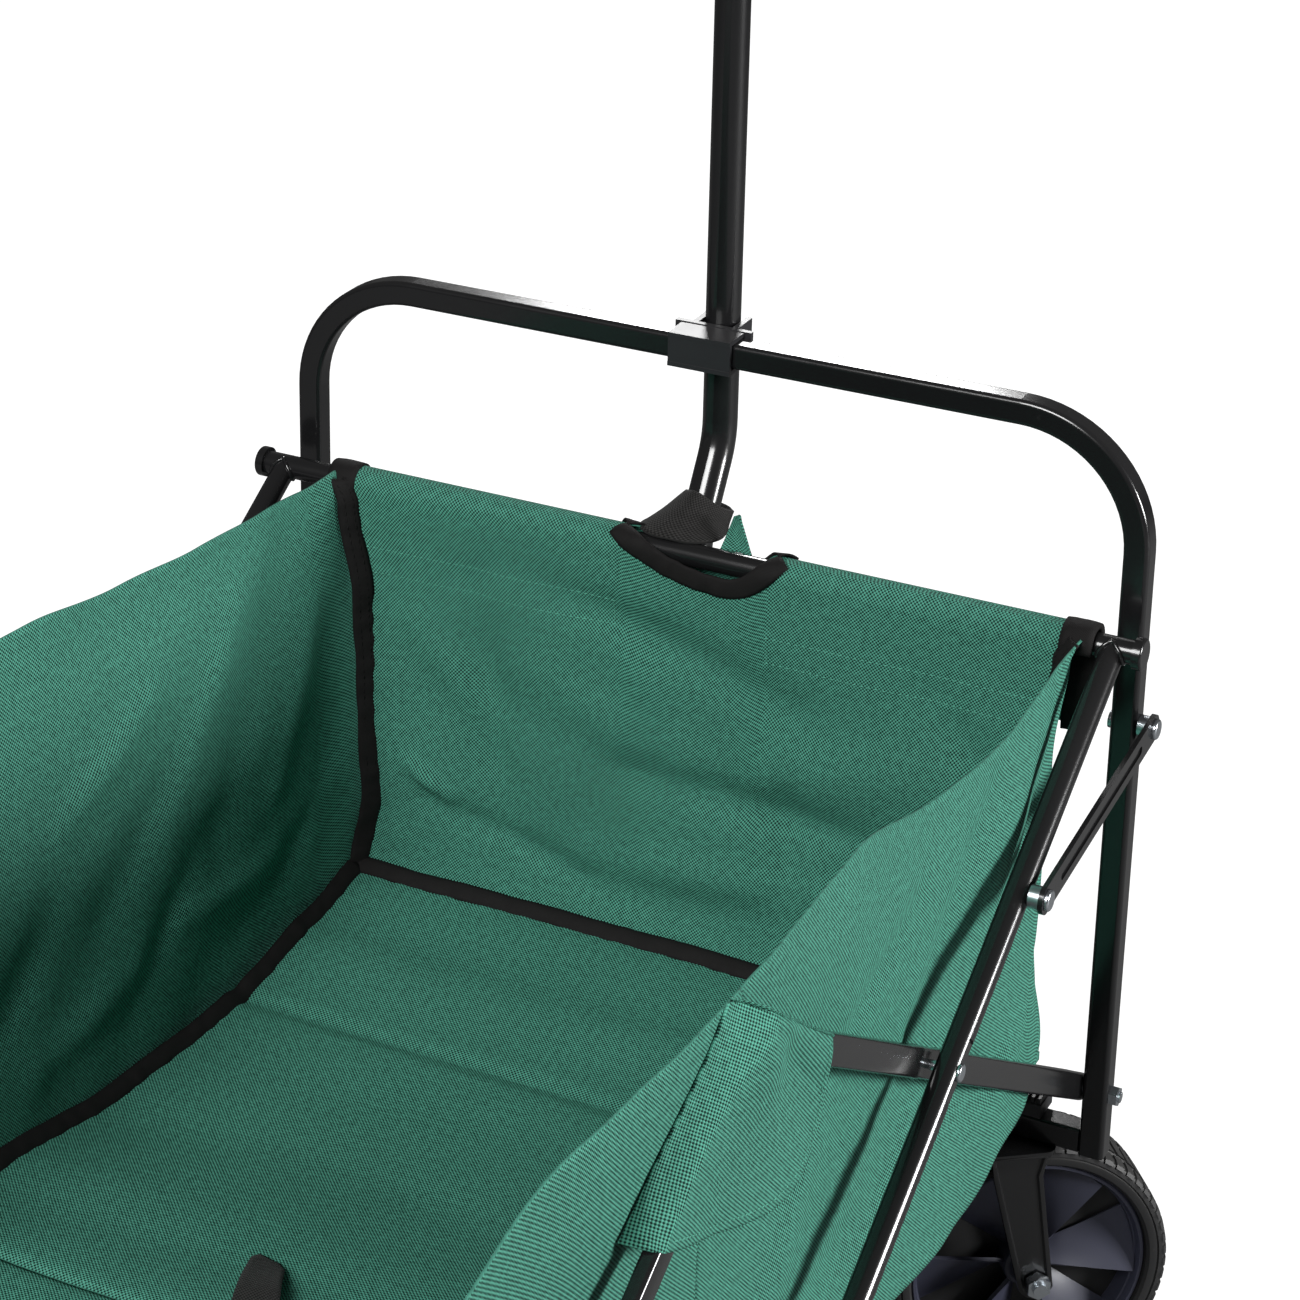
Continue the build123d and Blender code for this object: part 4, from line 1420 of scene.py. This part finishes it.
@dataclass
class Wheel:
    """Knobbed tyre on a rim with six fan blades."""

    bench: Bench
    corner: Corner
    turn: Matrix
    lugs: int = 60
    blades: int = 6

    def place(self, bm: bmesh.types.BMesh) -> None:
        """Sets a mesh made about the origin on its axle."""
        centre = middle_of(self.corner.node("tyre"))
        bmesh.ops.transform(bm, matrix=Matrix.Translation(centre) @ self.turn, verts=bm.verts)

    def tyre(self) -> bpy.types.Object:
        """Makes the tyre with a bead line on each wall and raised lugs."""
        half = [(16.0, 67.1), (19.6, 67.5), (21.2, 69.0), (21.7, 71.6), (21.6, 73.0), (20.8, 73.4), (20.8, 73.9),
                (21.5, 74.3), (21.2, 76.0), (19.6, 77.9), (16.4, 78.7), (11.5, 78.9), (10.5, 78.1), (8.0, 78.1),
                (7.0, 78.9)]
        outline = half + [(-x, r) for x, r in reversed(half)]
        bm = spun(outline, self.lugs * 3)
        chosen = []
        for face in bm.faces:
            middle = face.calc_center_median()
            radius = math.hypot(middle.y, middle.z) / MM
            step = int((math.atan2(middle.z, middle.y) / (2 * math.pi) + 1) * self.lugs * 3 + 0.01)
            shoulder = radius > 76.4 and abs(middle.x) > 11.4 * MM
            crown = radius > 78.4 and abs(middle.x) < 7.2 * MM
            if (shoulder and step % 3 != 0) or (crown and step % 3 != 1):
                chosen.append(face)
        made = bmesh.ops.extrude_face_region(bm, geom=chosen)
        bmesh.ops.delete(bm, geom=chosen, context="FACES")
        for vert in made["geom"]:
            if isinstance(vert, bmesh.types.BMVert):
                out = Vector((0, vert.co.y, vert.co.z)).normalized()
                vert.co += out * (1.0 * MM) + Vector((math.copysign(0.25 * MM, vert.co.x), 0, 0))
        self.place(bm)
        return self.bench.piece(bm, f"{self.corner.wheel_body}_tyre", self.corner.wheel_body, Finish.RUBBER,
                                [self.corner.node("tyre")], crisp=34)

    def rim(self) -> bpy.types.Object:
        """Makes the ring, the hub and the tilted blades between them."""
        ring = [(17.0, 66.95), (18.2, 66.0), (18.0, 64.4), (16.6, 63.6), (13.4, 63.2), (12.6, 62.4), (0, 61.8),
                (-12.6, 62.4), (-13.4, 63.2), (-16.6, 63.6), (-18.0, 64.4), (-18.2, 66.0), (-17.0, 66.95)]
        bm = spun(ring, 96)
        hub = [(23.5, 4.2), (23.5, 8.6), (22.6, 9.6), (16.0, 10.4), (15.0, 12.6), (13.5, 13.2), (-13.5, 13.2),
               (-15.0, 12.6), (-16.0, 10.4), (-22.6, 9.6), (-23.5, 8.6), (-23.5, 4.2)]
        absorb(bm, spun(hub, 48))
        for number in range(self.blades):
            for hand in (1, -1):
                absorb(bm, self.blade(math.radians(50) + 2 * math.pi * number / self.blades, hand))
        self.place(bm)
        return self.bench.piece(bm, f"{self.corner.wheel_body}_rim", self.corner.wheel_body, Finish.SLATE,
                                [self.corner.node("rim")], crisp=34)

    def web(self) -> bpy.types.Object:
        """Makes the web between the blades of the two faces, black as painted shade: the real web is slate plastic
        lying in shadow.
        """
        bm = spun([(1.2, 61.9), (1.2, 12.0), (-1.2, 12.0), (-1.2, 61.9)], 96)
        self.place(bm)
        # Black rubber instead of the rim's slate plastic: painted shade for the deep web between the blades.
        return self.bench.piece(bm, f"{self.corner.wheel_body}_web", self.corner.wheel_body, Finish.RUBBER,
                                crisp=34)

    def blade(self, start: float, hand: int) -> bmesh.types.BMesh:
        """Makes one blade, a sector that ramps from a face of the rim down to the web.

        Args:
            start: Angle of its near edge.
            hand: 1 on the outer face, -1 on the inner one.

        Returns:
            The blade's closed mesh.
        """
        bm = bmesh.new()
        bmesh.ops.create_grid(bm, x_segments=6, y_segments=8, size=1.0)
        for vert in bm.verts:
            a, b = (vert.co.x + 1) / 2, (vert.co.y + 1) / 2
            radius = mix(11.5, 62.8, b)
            angle = start + mix(0.0, math.radians(34), a)
            axial = hand * mix(14.5, 1.6, a) * mix(0.92, 1.0, b)
            vert.co = Vector((axial, radius * math.cos(angle), radius * math.sin(angle))) * MM
        bmesh.ops.recalc_face_normals(bm, faces=bm.faces)
        bmesh.ops.solidify(bm, geom=bm.faces, thickness=2.2 * MM)
        bmesh.ops.recalc_face_normals(bm, faces=bm.faces)
        return bm


@dataclass
class Fork:
    """Pressed fork with flanged arms, and the swivel stem on a caster."""

    bench: Bench
    corner: Corner
    pivot: Vector
    turn: Matrix
    trail: float
    gap: float = 29.0
    plate: float = 2.5
    crown_z: float = 127.0

    def arm(self, sign: int) -> bmesh.types.BMesh:
        """Makes one arm with a raised border round a sunk middle.

        Args:
            sign: 1 for the arm at +X, -1 for the other.

        Returns:
            The arm's closed mesh.
        """
        bm = bmesh.new()
        lean = self.trail * 0.3
        outline = [(lean - 16, self.crown_z + 2), (lean - 14, self.crown_z - 12)]
        for step in range(13):
            angle = math.radians(200 + step * 140 / 12)
            outline.append((self.trail + 10.5 * math.cos(angle), HUB_Z + 10.5 * math.sin(angle)))
        outline += [(lean + 14, self.crown_z - 12), (lean + 16, self.crown_z + 2)]
        inner = sign * self.gap
        verts = [bm.verts.new((inner * MM, y * MM, z * MM)) for y, z in outline]
        face = bm.faces.new(verts)
        made = bmesh.ops.extrude_face_region(bm, geom=[face])
        shift = Vector((sign * self.plate * MM, 0, 0))
        bmesh.ops.translate(bm, vec=shift, verts=[v for v in made["geom"] if isinstance(v, bmesh.types.BMVert)])
        bmesh.ops.recalc_face_normals(bm, faces=bm.faces)
        front = max(bm.faces, key=lambda f: f.normal.x * sign * f.calc_area())
        bmesh.ops.inset_region(bm, faces=[front], thickness=2.6 * MM, depth=0)
        bmesh.ops.inset_region(bm, faces=[front], thickness=1.1 * MM, depth=-1.2 * MM)
        sharp = [edge for edge in bm.edges if len(edge.link_faces) == 2 and edge.calc_face_angle(0) > 1.0]
        bmesh.ops.bevel(bm, geom=sharp, offset=0.45 * MM, segments=2, affect="EDGES", profile=0.5, material=-1)
        return bm

    def build(self) -> bpy.types.Object:
        """Makes the arms, the crown and the stem as one piece.

        Returns:
            The fork.
        """
        bm = bmesh.new()
        lean = self.trail * 0.3
        size = Matrix.Diagonal(((2 * self.gap + 5) * MM, 44 * MM, 3 * MM, 1))
        where = Matrix.Translation(Vector((0, lean, self.crown_z + 1.5)) * MM)
        bmesh.ops.create_cube(bm, size=1.0, matrix=where @ size)
        upright = [e for e in bm.edges if abs(e.verts[0].co.z - e.verts[1].co.z) > 1 * MM]
        bmesh.ops.bevel(bm, geom=upright, offset=7 * MM, segments=5, affect="EDGES", profile=0.5, material=-1)
        for sign in (1, -1):
            absorb(bm, self.arm(sign))
        if self.corner.end is End.FRONT:
            stem = [(115, 0.01), (115, 5), (129.8, 5), (130, 13), (131.2, 13), (131.3, 5), (160.8, 5), (161, 7.6),
                    (164.2, 7.6), (165, 6.6), (165, 0.01)]
            post = spun(stem, 32, closed=False)
            bmesh.ops.rotate(post, cent=(0, 0, 0), matrix=Matrix.Rotation(-math.pi / 2, 3, "Y"), verts=post.verts)
            bmesh.ops.recalc_face_normals(post, faces=post.faces)
            absorb(bm, post)
        bmesh.ops.transform(bm, matrix=Matrix.Translation(self.pivot) @ self.turn, verts=bm.verts)
        return self.bench.piece(bm, f"{self.corner.fork_body}_fork_{self.corner.side.label}",
                                self.corner.fork_body, Finish.PAINT, [self.corner.node("fork")], crisp=40)


@dataclass
class RunningGear:
    """The four wheels and their forks."""

    bench: Bench
    joints: dict[str, dict]

    def build(self) -> None:
        """Makes each corner from its joints' places and axes."""
        for end in End:
            for side in Side:
                corner = Corner(end, side)
                axis = Vector(self.joints[f"{corner.wheel_body}_spin"]["axis"]).normalized()
                turn = Vector((1, 0, 0)).rotation_difference(axis).to_matrix().to_4x4()
                hub = middle_of(corner.node("tyre"))
                if end is End.FRONT:
                    pivot = Vector(self.joints[f"{side.label}_caster_swivel"]["pos_m"])
                else:
                    pivot = hub.copy()
                pivot.z = self.bench.datum.dz
                trail = Vector((hub.x - pivot.x, hub.y - pivot.y)).length / MM
                wheel = Wheel(self.bench, corner, turn)
                wheel.tyre()
                wheel.rim()
                wheel.web()
                Fork(self.bench, corner, pivot, turn, trail).build()


# ---- crossing bars ---------------------------------------------------------------------


@dataclass
class LiftBar:
    """Flat tube from a leg to the apex, crimped at both ends and where the rod crosses."""

    bench: Bench
    side: Side
    end: End
    start: tuple[float, float] = (-451.5, 169.0)
    length: float = math.hypot(451.5, 278.0)
    inner: float = 227.5
    wide: float = 7.5
    thick: float = 8.0

    def section(self, along: float) -> tuple[float, float, float]:
        """Half width and the inner and outer faces at a distance from the leg."""
        round_end = max(0.0, -along, along - self.length)
        wide = math.sqrt(max(0.8, self.wide ** 2 - round_end ** 2))
        low, high = 0.0, self.thick
        low += 2.5 * (1 - smooth((along - 15) / 10))
        lap = smooth((along - (self.length - 60)) / 8)
        if self.end is End.FRONT:
            high -= 4.2 * lap
        else:
            low += 4.2 * lap
        from_seat = abs(along - (self.length - 246.5))
        seat = 1 - smooth((from_seat - 15) / 5)
        high -= 1.25 * seat
        wide += 0.5 * bump(from_seat, 18, 5)
        return wide, low, high

    def build(self) -> bpy.types.Object:
        """Makes the bar.

        Returns:
            The finished bar.
        """
        step = 6.0
        head = [-7.3, -6.6, -5.4, -3.6, -1.4, 2, 8]
        body = [14 + step * i for i in range(int((self.length - 22) / step))]
        tail = [self.length + extra for extra in (-6, 0, 1.4, 3.6, 5.4, 6.6, 7.3)]
        places = head + body + tail
        cos_s, sin_s = math.cos(BAR_SLOPE), math.sin(BAR_SLOPE)
        corner = 1.9

        def point(along: float, number: int) -> Vector:
            """A point of the cross-section at a distance from the leg."""
            wide, low, high = self.section(along)
            quarter, part = divmod(number, 4)
            r = min(corner, (high - low) * 0.45, wide * 0.8)
            angle = math.radians(quarter * 90 + part * 30)
            sx, sn = ((1, 1), (-1, 1), (-1, -1), (1, -1))[quarter]
            middle, half = (low + high) / 2, (high - low) / 2
            x = self.inner + middle + sx * (half - r) + r * math.cos(angle)
            n = sn * (wide - r) + r * math.sin(angle)
            y = self.start[0] + along * cos_s - n * sin_s
            z = self.start[1] + along * sin_s + n * cos_s
            return self.bench.datum.at(self.side.value * x, -self.end.value * y, z)

        bm = bmesh.new()
        ring = [bm.verts.new(point(places[0], number)) for number in range(16)]
        for number in range(16):
            bm.edges.new((ring[number - 1], ring[number]))
        grow(bm, ring, [lambda number, along=along: point(along, number) for along in places[1:]])
        node = f"{self.end.label}_lift_bar_{self.side.label}"
        return self.bench.piece(bm, f"{node}_tube", f"{self.end.label}_lift_bars", Finish.PAINT, [node], crisp=50)


@dataclass
class WeldBeads:
    """Uneven beads where the hem rods are welded under the hem bars."""

    bench: Bench
    rod: float = 6.6
    place_x: float = 243.0

    def build(self) -> None:
        """Makes the four beads along the saddle between rod and bar."""
        cos_s, sin_s = math.cos(BAR_SLOPE), math.sin(BAR_SLOPE)
        for end in End:
            for side in Side:
                bm = spun([(1.5 * math.cos(i * math.pi / 4), self.rod + 1.5 * math.sin(i * math.pi / 4))
                           for i in range(8)], 44)
                for vert in bm.verts:
                    along, a, b = vert.co.x / MM, vert.co.y / MM, vert.co.z / MM
                    angle = math.atan2(b, a)
                    lump = 1 + 0.28 * ripple(40 * math.cos(angle), 40 * math.sin(angle), 9 * side.value, 7)
                    reach = self.rod + (math.hypot(a, b) - self.rod) * lump
                    x = reach * math.cos(angle)
                    n = reach * math.sin(angle)
                    down = self.rod * abs(math.cos(angle)) + along * lump
                    y = HEM_Y + down * cos_s + n * sin_s
                    z = HEM_Z - down * sin_s + n * cos_s
                    vert.co = self.bench.datum.at(side.value * (self.place_x + x), -end.value * y, z)
                bmesh.ops.recalc_face_normals(bm, faces=bm.faces)
                self.bench.piece(bm, f"{end.label}_weld_{side.label}", f"{end.label}_hem_frame", Finish.PAINT)


# ---- dressing the carried-over nodes ------------------------------------------------------


@dataclass
class Dresser:
    """Gives each shown CAD node its finish."""

    paints: Paints

    def finish_for(self, slot: str) -> Finish:
        """Picks the finish of a record's slot."""
        return {
            "zinc": Finish.ZINC, "black_plastic": Finish.PLASTIC, "tyre_rubber": Finish.RUBBER,
            "wheel_plastic": Finish.SLATE, "green_fabric": Finish.GREEN, "black_webbing": Finish.WEBBING,
        }.get(slot, Finish.PAINT)

    def dress(self, frame: dict) -> None:
        """Assigns the finishes by the record's slots."""
        for row in frame["record"]["subparts"]:
            node = frame["nodes"][row["node"]]
            material = self.paints.of(self.finish_for(row["material_slot"]))
            if not node.material_slots:
                node.data.materials.append(material)
            for slot in node.material_slots:
                slot.link = "OBJECT"
                slot.material = material


# ---- studio -------------------------------------------------------------------------------


@dataclass
class Studio:
    """Pale floor, soft lights and the camera."""

    datum: Datum
    eye: tuple[float, float, float] = (-731.7, 1173.8, 1242.2)
    look: tuple[float, float, float] = (0.4500, -0.8170, -0.3605)
    fill: float = 0.085

    def floor(self) -> None:
        """Lays the pale floor."""
        bm = bmesh.new()
        bmesh.ops.create_grid(bm, x_segments=1, y_segments=1, size=9.0)
        mesh = bpy.data.meshes.new("studio_floor")
        bm.to_mesh(mesh)
        bm.free()
        ground = bpy.data.objects.new("studio_floor", mesh)
        material = bpy.data.materials.new("pale_floor")
        material.use_nodes = True
        shader = material.node_tree.nodes["Principled BSDF"]
        shader.inputs["Base Color"].default_value = (0.16, 0.16, 0.16, 1)
        shader.inputs["Roughness"].default_value = 0.9
        shader.inputs["Emission Color"].default_value = (1, 1, 1, 1)
        g = Graph(material.node_tree)
        g.join(g.add("ShaderNodeLightPath").outputs["Is Camera Ray"], shader.inputs["Emission Strength"])
        shader.inputs["Specular IOR Level"].default_value = 0.1
        mesh.materials.append(material)
        bpy.context.scene.collection.objects.link(ground)
        ground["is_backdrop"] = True

    def lamp(self, name: str, place: tuple[float, float, float], size: float, power: float) -> None:
        """Hangs a square soft light that faces the basket."""
        light = bpy.data.lights.new(name, "AREA")
        light.size = size
        light.energy = power
        lamp = bpy.data.objects.new(name, light)
        lamp.location = place
        aim = Vector((0.0, 0.0, 0.3)) - Vector(place)
        lamp.rotation_euler = aim.to_track_quat("-Z", "Y").to_euler()
        bpy.context.scene.collection.objects.link(lamp)

    def lights(self) -> None:
        """Sets the even sky and the soft lights."""
        world = bpy.data.worlds.new("studio")
        world.use_nodes = True
        g = Graph(world.node_tree)
        sky = world.node_tree.nodes["Background"]
        sky.inputs["Color"].default_value = (1.0, 1.0, 1.0, 1)
        seen = g.add("ShaderNodeLightPath")
        strength = g.math("MULTIPLY_ADD", seen.outputs["Is Camera Ray"], 1.0 - self.fill)
        strength.node.inputs[2].default_value = self.fill
        g.join(strength, sky.inputs["Strength"])
        bpy.context.scene.world = world
        self.lamp("side", (-2.7, -0.8, 0.9), 0.7, 98)
        self.lamp("top", (0.1, 2.2, 2.3), 1.3, 112)
        self.lamp("rim", (0.9, -2.6, 1.7), 0.5, 26)
        bpy.context.scene.view_settings.view_transform = "Standard"

    def camera(self) -> None:
        """Places the camera behind the tail end, at the right."""
        data = bpy.data.cameras.new("camera")
        data.sensor_width = 36.0
        data.lens = 99.47
        data.shift_x = 0.1638
        data.shift_y = -0.2358
        data.clip_end = 50
        camera = bpy.data.objects.new("camera", data)
        camera.location = self.datum.at(*self.eye)
        camera.rotation_euler = Vector(self.look).to_track_quat("-Z", "Y").to_euler()
        bpy.context.scene.collection.objects.link(camera)
        bpy.context.scene.camera = camera

    def build(self) -> None:
        """Sets up the whole studio."""
        self.floor()
        self.lights()
        self.camera()


def corners(bounds: object) -> list[list[float]]:
    """Turns a box's corners into plain lists of numbers."""
    return [[float(part) for part in corner] for corner in bounds]


def main() -> None:
    """Builds the wagon round the frame, class by class."""
    logging.basicConfig(level=logging.INFO, format="%(name)s %(message)s")
    for spare in list(bpy.data.objects):
        bpy.data.objects.remove(spare)
    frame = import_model()
    cad_box = corners(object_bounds())
    datum = Datum.read()
    paints = Paints()
    bench = Bench(datum, paints)
    Studio(datum).build()
    Dresser(paints).dress(frame)
    RunningGear(bench, {joint["name"]: joint for joint in frame["joints"]}).build()
    for end in End:
        for side in Side:
            LiftBar(bench, side, end).build()
    WeldBeads(bench).build()
    Basket(bench).build()
    {"cad": cad_box, "visual": corners(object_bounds())}


if __name__ == "__main__":
    main()
